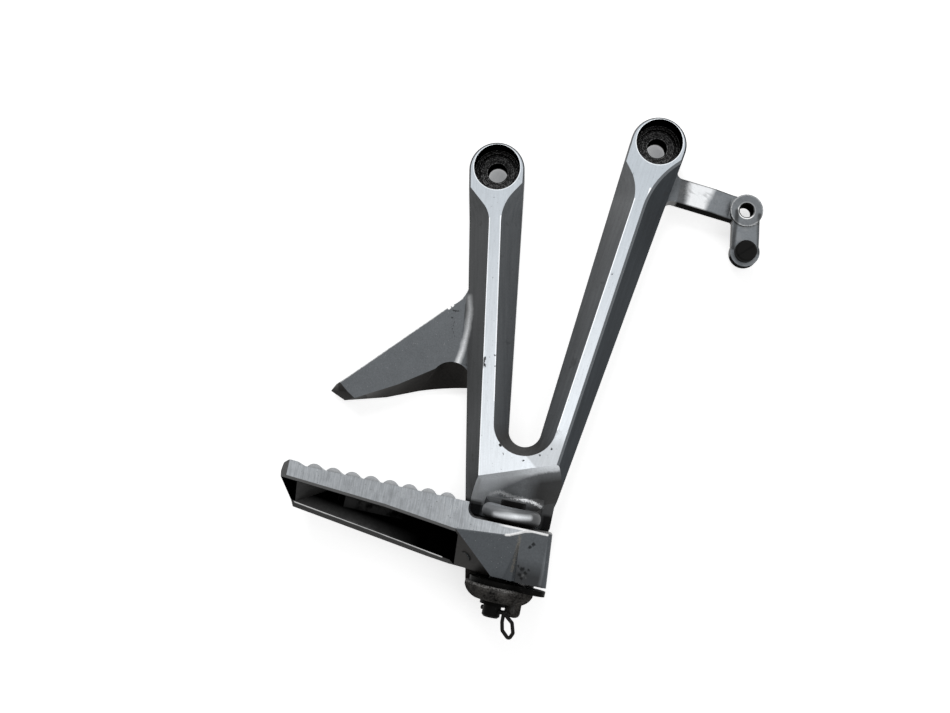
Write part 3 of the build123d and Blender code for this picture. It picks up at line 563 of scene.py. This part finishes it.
# %% Hanger: scoop
SCOOP_START = (21.2, -139.2)
down_scoop = (hanger.x - SCOOP_START[0]) * 0.339 - (hanger.z - SCOOP_START[1]) * 0.941
edge_soft = 1.2 + 5.0 * hanger.x.under(38.0, 14.0)
# Painted light where the scoop leaves the face.
scoop_top_light = 1 - ((down_scoop - 2.2 + 3.5 * smudge_sway + 1.5 * grain_sway) / edge_soft).clamp()
mottle = hanger.noise(3.0, 5.0, 0.65, shift=17.0)
# Painted shade: the scoop's mid grey, mottled by noise, stands for a face that leans down.
scoop_tone = hanger.tint(grey(120, -0.05), 0.2 + 0.5 * smudge + 0.6 * mottle + 0.5 * grain)
# Painted light: a lighter patch low on the left.
low_left_light = hanger.x.under(29.0, 9.0) * down_scoop.over(4.0, 4.0) * (0.5 + 0.7 * grain).clamp()
scoop_tone = hanger.mix(low_left_light, scoop_tone, grey(190, -0.04))
scoop_tone = hanger.mix(scoop_top_light * (0.6 + 0.7 * grain).clamp(), scoop_tone, grey(226, -0.04))
# Painted shade: darkest low on the right.
low_right_shade = hanger.x.over(45.0, 8.0) * down_scoop.over(4.0, 7.0)
scoop_tone = hanger.mix(low_right_shade * 0.95, scoop_tone, grey(52))
# Painted highlight along the scoop's left side.
scoop_side_highlight = hanger.line((21.9, -141.0), (21.2, -150.0)).under(0.6, 0.8) * (0.4 + smudge).clamp()
scoop_tone = hanger.mix(scoop_side_highlight * 0.7, scoop_tone, grey(186, -0.03))
colour = hanger.mix(on_scoop, colour, scoop_tone)
hanger.tell("scoop")

# %% [markdown]
# The hollow corner between the scoop and the ear is painted darker as shade, most at its right end, and a
# broken painted highlight runs along it. All of it stays in front, so that nothing shows through on the back.

# %% Hanger: hollow corner above the upper ear
HOLLOW_Z = (-149.7, -142.5)
HOLLOW_LINE = ((27.7, -146.2), (31.9, -144.4), (36.7, -145.4), (41.8, -145.4), (47.0, -146.0),
               (51.3, -147.1))
in_front = (1 - face) * hanger.y.under(-9.0, 1.0)
# Painted shade in the hollow corner above the ear.
hollow_soft = hanger.z.between(*HOLLOW_Z, 1.2) * hanger.x.between(26.0, 51.0, 2.0) * in_front
hollow_shade = hanger.tint(grey(78, -0.03), 0.3 + 0.8 * smudge + 0.4 * grain)
colour = hanger.mix(hollow_soft * (1 - on_scoop), colour, hollow_shade)
# Painted shade, darkest at the corner's right end.
right_end_shade = hanger.x.over(47.0, 6.0) * hanger.z.between(-158.0, -139.0, 3.0)
right_end_shade = right_end_shade * (1 - face) * hanger.y.under(-12.0, 1.0)
right_end_shade_tone = hanger.tint(grey(54), 0.3 + 0.9 * smudge + 0.5 * grain)
colour = hanger.mix(right_end_shade * 0.85, colour, right_end_shade_tone)
# Painted highlight along the hollow corner, broken up by the grain.
hollow_highlight = (hanger.line(*HOLLOW_LINE) + 4.0 * grain_sway - 0.8 * smudge).under(0.2, 0.8)
hollow_highlight = hollow_highlight * hanger.x.over(27.0, 6.0) * smudge.over(0.4, 0.3)
in_hollow = hanger.z.between(*HOLLOW_Z, 0.4) * hanger.x.between(*UPPER_EAR_X, 0.5) * in_front
colour = hanger.mix(hollow_highlight * in_hollow * 0.8, colour, grey(220, -0.02))
hanger.tell("hollow corner")

# %% [markdown]
# The upper ear holds the pin's head. Its left end is painted lighter than its right, its rounded front has
# one soft painted highlight, and its underside has painted shade from the hinge.

# %% Hanger: upper ear
on_ear = hanger.y.under(-22.5, 0.4) * hanger.z.between(*UPPER_EAR_Z, 0.3)
on_ear = on_ear * hanger.x.between(*UPPER_EAR_X, 0.5)
# Painted light: the ear's left end lighter than its right.
ear_tone = hanger.mix(hanger.x.over(PIN_X, 20.0), grey(126, -0.04), grey(90, -0.03))
ear_tone = hanger.tint(ear_tone, 0.7 + 0.3 * smudge + 0.3 * grain)
# Painted shade under the ear, from the hinge.
ear_tone = hanger.mix(hanger.z.under(-155.0, 1.2), ear_tone, grey(34))
# Painted highlight on the ear's rounded front.
ear_line = hanger.line((32.0, -154.0), (39.0, -153.3), (47.0, -152.4))
ear_highlight = (1 - ((ear_line - 0.5 * smudge) / 1.5).clamp()) * hanger.y.under(-35.0, 2.0)
ear_tone = hanger.mix(ear_highlight * (0.6 + 0.6 * grain).clamp(), ear_tone, grey(206, -0.03))
colour = hanger.mix(on_ear, colour, ear_tone)
hanger.tell("upper ear")

# %% [markdown]
# The counterbores are where the bolts' heads sat: black grease on the wall, and broken rings of lighter
# specks on a dark seat. Their masks are distances from each bolt's axis.

# %% Hanger: greasy counterbores
BORE_R = 10.8
SEAT_R = 8.5
in_bore = reach.under(BORE_R, 0.3) * hanger.y.between(FACE_Y + 0.3, -0.8, 0.2)
seat = in_bore * hanger.ny.under(-0.4, 0.1)
arcs = hanger.rings(reach, 0.45, 2.0).over(0.5, 0.1) * grain.over(0.5, 0.12)
seat_tone = hanger.mix(reach.over(SEAT_R, 0.4), hanger.tint(grey(36, -0.03), 0.2 + 1.5 * grain), grey(8))
seat_tone = hanger.mix(arcs * 0.8, seat_tone, grey(116))
colour = hanger.mix(seat, colour, seat_tone)
hanger.tell("counterbores")

# %% [markdown]
# The strap has a painted highlight across it near its root, beside a stretch of painted shade where it
# meets the arm, and towards the boss it is a dull grey again. Its two long edges are dark.

# %% Hanger: strap, worn and with painted light and shade
on_strap = hanger.x.over(STRAP_FROM_X, 1.0) * hanger.z.under(20.0, 1.0)
strap_front = on_strap * hanger.ny.under(-0.8, 0.2)
strap_tone = hanger.tint(grey(110, -0.07), 0.36 + 0.65 * smudge + 0.6 * grain)
# Painted highlight across the strap near its root.
strap_highlight = (hanger.x + 5.0 * smudge_sway + 2.0 * grain_sway).over(87.4, 2.2)
strap_highlight = strap_highlight * (hanger.x - 0.3 * hanger.z + 3.0 * smudge_sway).under(96.6, 2.4)
strap_highlight = strap_highlight * hanger.z.over(-4.0, 2.0) * (0.75 + 0.4 * grain).clamp()
strap_tone = hanger.mix(strap_highlight, strap_tone, grey(206, -0.02))
rubbed = hanger.noise(2.2, 4.0, 0.6, (1, 1, 3), 62.0, 8.0).over(0.56, 0.12)
strap_tone = hanger.mix(rubbed * (0.2 + 0.5 * grain), strap_tone, grey(120, -0.03))
# Painted shade at the strap's root, where it meets the arm.
root_shade = hanger.tint(grey(64), 0.3 + 1.3 * grain)
strap_tone = hanger.mix(hanger.x.under(88.5, 3.0) * 0.7, strap_tone, root_shade)
strap_edges = hanger.line((84.0, 14.05), (112.0, 11.25)).least(hanger.line((84.0, 2.8), (112.0, 0.0)))
strap_tone = hanger.mix((strap_edges - 0.5 * grain).under(0.15, 0.5) * 0.8, strap_tone, grey(52))
hanger.tell("strap")

# %% [markdown]
# The strap's boss has a painted highlight round its bore, strongest on the lower side, and a broken painted
# highlight at its outer edge. The link below it is dark along both sides, and the strap's underside gets
# painted shade.

# %% Hanger: strap boss and link
BOSS_FACE_R = 7.2
from_boss = hanger.distance(*STRAP_BOLT)
boss_tone = hanger.tint(grey(102, -0.06), 0.3 + 0.6 * smudge + 0.7 * grain)
strap_tone = hanger.mix(from_boss.under(BOSS_FACE_R, 0.4), strap_tone, boss_tone)
low_side = (4.6 - hanger.z - 0.35 * (hanger.x - STRAP_BOLT[0])).over(0.0, 2.0)
# Painted highlight round the boss's bore, strongest on its lower side.
bore_ring_highlight = from_boss.between(3.1, 4.1, 0.25) * (0.15 + 0.75 * low_side)
strap_tone = hanger.mix(bore_ring_highlight, strap_tone, grey(222))
# Painted highlight at the boss's outer edge.
boss_edge_highlight = from_boss.between(6.9, 7.7, 0.3) * grain.over(0.45, 0.2)
strap_tone = hanger.mix(boss_edge_highlight * 0.4, strap_tone, grey(190))
link_side = hanger.line((112.0, 4.0), (113.2, -13.0)).least(hanger.line((122.4, 4.0), (125.4, -13.0)))
link_dark = link_side.under(1.0, 1.0) * (0.3 + smudge).clamp() * 0.85
strap_tone = hanger.mix(link_dark, strap_tone, grey(32))
colour = hanger.mix(strap_front, colour, strap_tone)
# Painted shade on the strap's underside, which looks down.
strap_under = on_strap * hanger.nz.under(-0.4, 0.2)
colour = hanger.mix(strap_under, colour, hanger.tint(grey(30, 0.04), 0.3 + 1.2 * smudge))
hanger.tell("strap boss and link")

# %% [markdown]
# The face is a little smoother than the cast skin. The relief is very shallow: brushing on the face and the
# bevels, skin everywhere else, and pits that go in. Then the whole finish goes on the CAD node.

# %% Hanger: roughness, relief and dressing
CAST_METAL = 0.85
CAST_RELIEF_MM = 0.06
rough = 0.42 - 0.08 * face + 0.1 * (1 - face) * skin + 0.1 * smudge_sway + 0.1 * on_ear
relief = brushed * 0.25 * (face + bevel).clamp() + skin * 0.7 * (1 - face) * (1 - bevel) - pits * 2.0 * face
dress("bracket", hanger.finish(colour, rough.clamp(), CAST_METAL, relief, CAST_RELIEF_MM))

# %% [markdown]
# Dirt covers the hinge and everything below it and the bores' walls. The same dull coat lays painted shade
# in the pocket beside the pin's head, and painted shade with some dirt on the arch under the spur and on
# the strap's underside. On the back it fades upwards in a cloudy edge. The lower ear is mottled, and light
# grit lies on the left of its upper edge.

# %% Hanger: dirt
HINGE_Z = -157.6
LOWER_EAR_Z = -181.0
on_high_back = back * (hanger.z + 12.0 * smudge).over(-172.0, 10.0)
under_hinge = hanger.z.under(HINGE_Z, 0.8) * (1 - 0.8 * on_high_back)
bore_wall = in_bore * (1 - seat)
# Painted shade in the pocket beside the pin's head, laid on as a dull coat.
pocket_shade = hanger.z.between(-158.0, -150.4, 1.5) * (hanger.x - PIN_X).abs().over(13.6, 2.0)
pocket_shade = pocket_shade * hanger.y.between(-20.0, -5.0, 1.0)
strap_bore = on_strap * from_boss.under(3.3, 0.1) * hanger.y.over(-12.2, 0.2)
dirty = under_hinge * 0.99 + bore_wall + seat * (0.6 + 0.38 * reach.over(SEAT_R, 0.5)) * (1 - 0.8 * arcs)
# The dull coat on the spur's and the strap's undersides is painted shade with some dirt.
dirty = dirty + pocket_shade * 0.85 + spur_under * 0.35 + strap_bore + strap_under * 0.98
dirty = dirty + chipped * face * 0.6 + tip_facet * 0.25
mottled = hanger.z.under(LOWER_EAR_Z, 1.5) * (0.6 * smudge + 0.6 * skin).over(0.58, 0.3)
grime = hanger.mix(mottled, grey(15, 0.05), grey(80, 0.06))
grit = (hanger.z + 1.6 * smudge).between(-184.4, -182.6, 0.4) * (grain + 0.4 * smudge).over(0.70, 0.08)
grit = grit * hanger.y.under(-26.0, 3.0) * hanger.x.under(46.0, 6.0)
grime = hanger.mix(grit * 0.7, grime, grey(140, 0.02))
grime = hanger.mix(bore_wall, grime, grey(3))
grime = hanger.mix(strap_under, grime, grey(34, 0.04))
hanger.soil(dirty.clamp(), hanger.tint(grime, 0.3 + 1.3 * grain))
hanger.tell("hanger complete")

# %% [markdown]
# ## The footpeg
#
# The peg's outer side was brushed across, which leaves short upright scratches. Its hollow underside is
# painted almost black as shade, with a little painted light, and the rim of the far wall has a painted
# highlight. The hub is dull and blue, with a painted highlight along its top edge and round its raised pad.

# %% Peg: masks
BAND_Y = -41.0
HOLLOW_BACK_Y = -18.0
TREAD_Z = -150.85
RIM_LINE = ((-61.7, -164.2), (-57.7, -168.2), (-40.8, -170.5), (-23.1, -172.8), (-5.4, -175.5),
            (12.2, -178.1))
FACET = (-0.567, -0.468, -0.679)
peg = Finish("peg_casting")
band = peg.ny.under(-0.985, 0.01) * peg.y.under(BAND_Y + 0.08, 0.06)
hub = peg.x.over(17.0, 1.0)
facet = peg.facing(*FACET).over(0.985, 0.01) * peg.x.over(15.0, 1.0)
pad = peg.ny.under(-0.985, 0.01) * peg.y.between(BAND_Y + 0.3, BAND_Y + 0.7, 0.1) * peg.x.over(39.0, 0.5)
top = peg.nz.over(0.6, 0.2)
inside = peg.y.between(-39.2, HOLLOW_BACK_Y + 0.2, 0.3) * peg.z.under(-153.0, 0.6) * peg.x.under(18.2, 0.4)
above_tread = peg.z - TREAD_Z + (peg.y - BAND_Y) * 0.105
ridges = above_tread.over(0.1, 0.15) * peg.x.between(-52.5, 15.5, 0.5)
rim_face = peg.nz.under(-0.4, 0.1) * peg.y.over(HOLLOW_BACK_Y - 0.2, 0.2) * peg.x.under(24.0, 1.0)
peg.tell("masks: band, hub, facet, pad, top, inside, ridges, rim")

# %% [markdown]
# The peg has the same kinds of wear as the hanger, with its own sizes. The scratches stand upright, nearly
# square to the peg's length.

# %% Peg: patterns
scratched = peg.noise(0.65, 3.0, 0.7, (1, 1, 14), 2.0)
peg_skin = peg.noise(1.0, 4.0, 0.6, shift=1.0)
peg_grain = peg.noise(0.7, 3.0, 0.75, shift=6.1)
peg_smudge = peg.noise(6.0, 5.0, 0.6, shift=2.5)
peg_grain_sway = peg_grain - 0.5
peg.tell("patterns: scratches, skin, grain, smudges")

# %% [markdown]
# The band along the outer side is lighter at both ends and scratched all over. The ridges of the tread are
# rubbed light, and the flat metal between them stays dull.

# %% Peg: brushed band and tread
band_tone = peg.mix(peg.x.over(18.0, 30.0), grey(147, -0.05), grey(164, -0.05))
band_tone = peg.mix(peg.x.under(-44.0, 24.0) * 0.5, band_tone, grey(166, -0.05))
band_tone = peg.tint(band_tone, 0.30 + 1.1 * scratched + 0.3 * peg_grain)
band_tone = peg.tint(band_tone, 0.62 + 0.76 * peg_smudge)
band_tone = peg.mix(peg_smudge.over(0.6, 0.1) * 0.25, band_tone, grey(104))
band_tone = peg.mix(peg.specks(0.8, 0.03) * 0.5, band_tone, grey(60))
raw = peg.tint(grey(84), 0.6 + 0.8 * peg_skin)
tread_tone = peg.tint(grey(96), 0.6 + 0.8 * peg_skin)
ridge_tone = peg.tint(grey(158, -0.03), 0.6 + 0.5 * peg_grain + 0.25 * peg_skin)
tread_tone = peg.mix(ridges, tread_tone, ridge_tone)
peg.tell("band and tread")

# %% [markdown]
# The hub's flat is a bluish cast grey with dark flecks and a few light specks. A crease where it meets the
# raised pad holds some brown dust. The sloping facet beside it is brown and dull, with one soft dark spot.

# %% Peg: hub, crease and facet
BROWN_DUST = (0.125, 0.116, 0.100)
hub_tone = peg.tint(grey(80, -0.09), 0.42 + 0.4 * peg_skin + 0.5 * peg_grain + 0.2 * peg_smudge)
hub_tone = peg.mix((peg_skin + 0.4 * peg_grain).over(0.93, 0.05) * 0.6, hub_tone, grey(30))
hub_tone = peg.mix(peg.specks(0.5, 0.03, 8.0) * 0.45, hub_tone, grey(150))
crease = peg.line((44.6, -160.8), (44.2, -176.0))
creased = crease.under(0.7, 0.6) * peg_grain.over(0.45, 0.15) * 0.75
hub_tone = peg.mix(creased, hub_tone, BROWN_DUST)
facet_tone = peg.tint(grey(54, 0.07), 0.5 + peg_skin)
dent = peg.distance(26.1, -174.5).under(2.6, 0.6) * facet * 0.35
peg.tell("hub, crease and facet")

# %% [markdown]
# The raised pad darkens towards its foot. A few pits sit in two loose groups, broken up by the grain, and
# its outer edge has a faint painted highlight.

# %% Peg: raised pad
PAD_PITS = ((50.8, -162.9, 0.8), (49.6, -164.4, 0.6), (48.3, -174.2, 0.9), (49.9, -175.6, 0.7),
            (47.6, -176.8, 0.8), (51.0, -174.0, 0.5), (48.9, -178.2, 0.6), (46.3, -173.2, 0.4))
PAD_CHIPS = ((49.3, -176.8, 0.9), (50.6, -177.6, 0.5), (47.0, -175.0, 0.3), (52.5, -169.0, 0.25))
pad_tone = peg.tint(grey(78, -0.08), 0.4 + 0.5 * peg_skin + 0.5 * peg_grain + 0.2 * peg_smudge)
pad_tone = peg.mix(peg.z.under(-173.0, 7.0) * 0.85, pad_tone, grey(42, -0.03))
from_pits = peg.spots(*PAD_PITS)
pitted = (from_pits + 2.0 * peg_grain_sway).under(0.0, 0.5) * 0.8 * from_pits.under(0.7, 0.4)
pad_tone = peg.mix(pitted, pad_tone, grey(9))
pad_tone = peg.mix(creased, pad_tone, BROWN_DUST)
# Faint painted highlight along the pad's outer edge.
heel_highlight_line = peg.line((57.6, -159.5), (57.2, -179.0))
pad_tone = peg.mix(heel_highlight_line.under(0.7, 1.2) * 0.22, pad_tone, grey(140, -0.06))
pad_chipped = (peg.spots(*PAD_CHIPS) + 3.0 * peg_grain_sway).under(-0.3, 0.5)
pad_tone = peg.mix(pad_chipped * 0.2, pad_tone, grey(120))
peg.tell("raised pad")

# %% [markdown]
# The hub's upper edge, and the wavy step where the pad begins, get a painted highlight, almost white. Both
# are lines in the front view, and only faces that look forward take them.

# %% Peg: painted highlights on the hub's edges
HUB_TOP = ((24.0, -158.0), (46.0, -157.6), (56.0, -157.8))
PAD_STEP = ((38.5, -161.5), (40.2, -161.1), (43.2, -159.8), (46.1, -158.3), (49.5, -157.6), (54.8, -157.7))
hub_rims = peg.line(*HUB_TOP).least(peg.line(*PAD_STEP))
# Painted highlight along the hub's upper edge and the pad's step.
hub_highlight = (hub_rims - 0.5 * peg_smudge).under(0.25, 0.4) * peg.ny.under(-0.5, 0.3) * peg.x.over(36.0, 4.0)
hub_highlight = hub_highlight * (0.4 + 0.7 * peg_grain).clamp()
peg.tell("highlit edges")

# %% [markdown]
# Inside the hollow the base is painted almost black as shade. The far wall has painted light near its rim,
# the sloping end, which looks towards the light, is painted a mottled grey, and patches of painted light
# lie under the tread. The rim itself has one thin painted highlight.

# %% Peg: hollow underside and its rim
rim_away = peg.line(*RIM_LINE)
# Painted light on the far wall near its rim.
wall_light = rim_away.under(3.2, 5.0) * peg.x.under(-14.0, 30.0) * peg.y.over(-18.6, 0.3)
depths = peg.tint(grey(70), 0.5 + peg_skin)
# Painted shade: the hollow's inside is almost black.
hollow = peg.mix((wall_light * (0.5 + 0.7 * peg_smudge)).clamp(), grey(7, 0.05), depths)
# Painted light on the sloping end, which looks towards the light.
slope = peg.nx.over(0.3, 0.1) * peg.x.under(-42.0, 1.0) * inside
hollow = peg.mix(slope, hollow, peg.tint(grey(58, 0.02), 0.1 + 1.8 * peg_smudge * peg_skin))
# The smears mask holds painted light under the tread, in loose patches.
smears = peg.y.between(-27.6, -24.6, 0.7) * peg.x.between(-37.0, -8.0, 4.0) * peg.z.over(-166.0, 2.0)
smears = smears * peg_smudge.over(0.42, 0.16)
patch_light_fade = peg.z.over(-163.4, 3.4) * peg.x.under(-18.0, 26.0)
patch_light_tone = peg.tint(grey(62), 0.3 + 1.3 * peg_smudge)
hollow = peg.mix(smears * (0.25 + 0.5 * patch_light_fade), hollow, patch_light_tone)
# Painted highlight along the rim.
rim_highlight = (rim_away - 0.4 * peg_smudge).under(0.2, 0.35) * peg.y.over(HOLLOW_BACK_Y - 0.35, 0.2)
rim_tone = peg.mix(rim_highlight, peg.tint(grey(52, 0.01), 0.4 + 1.0 * peg_skin), grey(205))
peg.tell("hollow and rim")

# %% [markdown]
# The layers go on in the order in which they hide each other: raw casting, hub, pad, facet, tread, hollow,
# rim, band, and the painted highlights on the hub's edges last. The hollow's painted shade goes on as a dull
# coat, as the dirt does on the hanger, and some of it darkens the facet and the hub's foot.

# %% Peg: the whole finish
colour = peg.mix(hub, raw, hub_tone)
colour = peg.mix(pad, colour, pad_tone)
colour = peg.mix(facet, colour, facet_tone)
colour = peg.mix(dent, colour, grey(30))
colour = peg.mix(top, colour, tread_tone)
colour = peg.mix(ridges, colour, tread_tone)
colour = peg.mix(inside, colour, hollow)
colour = peg.mix(rim_face, colour, rim_tone)
colour = peg.mix(band, colour, band_tone)
colour = peg.mix(hub_highlight, colour, grey(226))
rough = 0.44 + 0.14 * peg_skin
relief = scratched * 0.3 * band + peg_skin * 0.6 * (1 - band)
dress("footpeg", peg.finish(colour, rough.clamp(), CAST_METAL, relief, CAST_RELIEF_MM))
# Dull coat for the hollow's painted shade; it also darkens the facet and the hub's foot.
hidden = inside * (1 - slope * 0.4) * (1 - smears * 0.2) * (1 - wall_light * 0.4) * (1 - rim_highlight)
hidden = hidden + facet * 0.45 + peg.z.under(-180.6, 0.4) * peg.x.over(20.0, 0.5) * 0.8
peg.soil(hidden.clamp(), hollow)
peg.tell("peg complete")

# %% [markdown]
# ## Steel parts and rubber
#
# The pin, its washer, the cotter and the detent plate are plain steel under old grease: dark, with a soft
# sheen and brown smears. The ball and its spring sit in clean grease inside the heel and stay brighter.
# One function makes all six, with a grey level, a warmth and a seed of its own for each.


# %% Greasy steel
STEEL_METAL = 0.6
STEEL_RELIEF_MM = 0.03


def greasy_steel(name, level, warm, seed, gloss=0.05):
    """Dark steel with smears and a fine skin; gloss is the grease's mirror share."""
    steel = Finish(name)
    smear = steel.noise(3.0, 5.0, 0.6, shift=seed)
    fine = steel.noise(0.5, 3.0, 0.6, shift=seed + 1)
    tone = steel.tint(grey(level, warm), 0.4 + 0.7 * smear + 0.5 * fine)
    tone = steel.mix(steel.specks(0.8, 0.06, seed) * 0.4, tone, grey(min(level * 2.4, 220)))
    steel.feed(steel.shader, "Specular IOR Level", gloss)
    return steel.finish(tone, (0.4 + 0.3 * smear).clamp(), STEEL_METAL, fine, STEEL_RELIEF_MM)


dress("hinge_pin", greasy_steel("pin_steel", 22, 0.03, 1.0))
dress("pin_washer", greasy_steel("washer_steel", 15, 0.05, 2.0))
dress("split_pin", greasy_steel("cotter_steel", 34, 0.04, 3.0))
dress("detent_plate", greasy_steel("plate_steel", 19, 0.03, 4.0))
dress("detent_ball", greasy_steel("ball_steel", 190, 0.0, 5.0, 0.5))
dress("detent_spring", greasy_steel("spring_steel", 150, 0.0, 6.0, 0.5))

# %% [markdown]
# The rubber plug is nearly black and dusty, with one shallow slot across its face.

# %% Rubber plug
RUBBER_SLOT = ((115.6, -17.2), (122.8, -10.4))
RUBBER_RELIEF_MM = 0.08
rubber = Finish("buffer_rubber")
rubber.feed(rubber.shader, "Specular IOR Level", 0.1)
dust = rubber.noise(1.5, 4.0, 0.6)
slot = rubber.line(*RUBBER_SLOT).under(0.45, 0.3)
rubber_tone = rubber.mix(slot * 0.8, rubber.tint(grey(24, 0.03), 0.4 + dust), grey(6))
rubber_rough = (0.6 + 0.2 * dust).clamp()
dress("rubber_buffer", rubber.finish(rubber_tone, rubber_rough, 0.0, dust - slot, RUBBER_RELIEF_MM))

# %% [markdown]
# ## Floor and light
#
# The background is white to the camera and in what the metal mirrors, but for dull surfaces it is only a
# dim sky beside the lamps. The Light Path node tells those rays apart.

# %% White background
DIM_SKY = 0.35
world = bpy.data.worlds.new("studio")
bpy.context.scene.world = world
world.use_nodes = True
sky = Tree(world.node_tree)
path = sky.node("ShaderNodeLightPath")
sees_white = path.value("Is Camera Ray").most(path.value("Is Glossy Ray"))
sees_white = sees_white.most(path.value("Is Transmission Ray"))
strength = sky.node("ShaderNodeMapRange", None, {"Value": sees_white, "To Min": DIM_SKY, "To Max": 1.0})
sky.feed(sky.nodes["Background"], "Strength", strength.value(0))
sky.feed(sky.nodes["Background"], "Color", (1, 1, 1))
sky.tell("sky")

# %% [markdown]
# The part lay on white paper. The paper is one face just behind the mounting face, wide enough to fill
# the view, and its normal looks at the camera.

# %% Paper
PAPER_Y = 0.0012
PAPER_HALF = 1.2
MIDDLE = (0.03, 0.0, -0.09)
corners = np.array([(-1, 0, -1), (1, 0, -1), (1, 0, 1), (-1, 0, 1)], dtype=float) * PAPER_HALF
corners += np.array(MIDDLE) + np.array([0, PAPER_Y, 0])
paper_mesh = bpy.data.meshes.new("paper")
paper_mesh.from_pydata(corners.tolist(), [], [(0, 1, 2, 3)])
paper = bpy.data.objects.new("paper", paper_mesh)
bpy.context.scene.collection.objects.link(paper)
print("paper normal", tuple(round(n, 2) for n in paper_mesh.polygons[0].normal))

# %% [markdown]
# The paper in the photograph is burnt out to white, yet soft shadows still show on it. A diffuse white with
# a steady glow of its own gives both. Through the bolt holes the paper lies in the hanger's shade, so its
# glow is lower there. From behind the paper is clear, so that the part can be seen from every side.

# %% Paper that shows only from the front
PAPER_WHITE = (0.8, 0.8, 0.8)
PAPER_GLOW = 0.62
HOLE_SHADE = (0.3, 0.31, 0.32)
HOLE_SHADE_R = 7.0
paper_finish = Finish("paper")
behind = paper_finish.node("ShaderNodeNewGeometry").value("Backfacing")
from_bolts = paper_finish.distance(*REAR_BOLT).least(paper_finish.distance(*FRONT_BOLT))
glow_colour = paper_finish.mix(from_bolts.under(HOLE_SHADE_R, 2.0), (1.0, 1.0, 1.0), HOLE_SHADE)
white = paper_finish.node("ShaderNodeBsdfDiffuse", None, {"Color": PAPER_WHITE})
glow = paper_finish.node("ShaderNodeEmission", None, {"Color": glow_colour, "Strength": PAPER_GLOW})
clear = paper_finish.node("ShaderNodeBsdfTransparent")
lit = paper_finish.node("ShaderNodeAddShader", None, {0: white.value(0), 1: glow.value(0)})
shown = paper_finish.node("ShaderNodeMixShader", None, {0: behind, 1: lit.value(0), 2: clear.value(0)})
paper_finish.feed(paper_finish.output, "Surface", shown.value(0))
paper_mesh.materials.append(paper_finish.material)
paper.visible_shadow = False
paper.visible_diffuse = False
paper.visible_glossy = False
paper_finish.tell("paper")

# %% [markdown]
# Three soft square lamps light the part: a key from the upper left, a weaker fill from the right, and one
# behind it for the views of its back.


# %% Lamps
def soft_lamp(name, place, target, size, watts):
    """A square area lamp at a place, aimed at a target, in metres."""
    data = bpy.data.lights.new(name, "AREA")
    data.shape = "SQUARE"
    data.size = size
    data.energy = watts
    lamp = bpy.data.objects.new(name, data)
    lamp.location = place
    lamp.rotation_euler = (Vector(target) - Vector(place)).to_track_quat("-Z", "Y").to_euler()
    bpy.context.scene.collection.objects.link(lamp)
    print("lamp", name, watts, "W")


soft_lamp("key", (-0.25, -0.9, 0.75), MIDDLE, 0.6, 5.5)
soft_lamp("fill", (0.5, -1.0, -0.1), MIDDLE, 0.9, 2.6)
soft_lamp("rear_light", (0.3, 0.9, 0.8), MIDDLE, 0.8, 8.0)
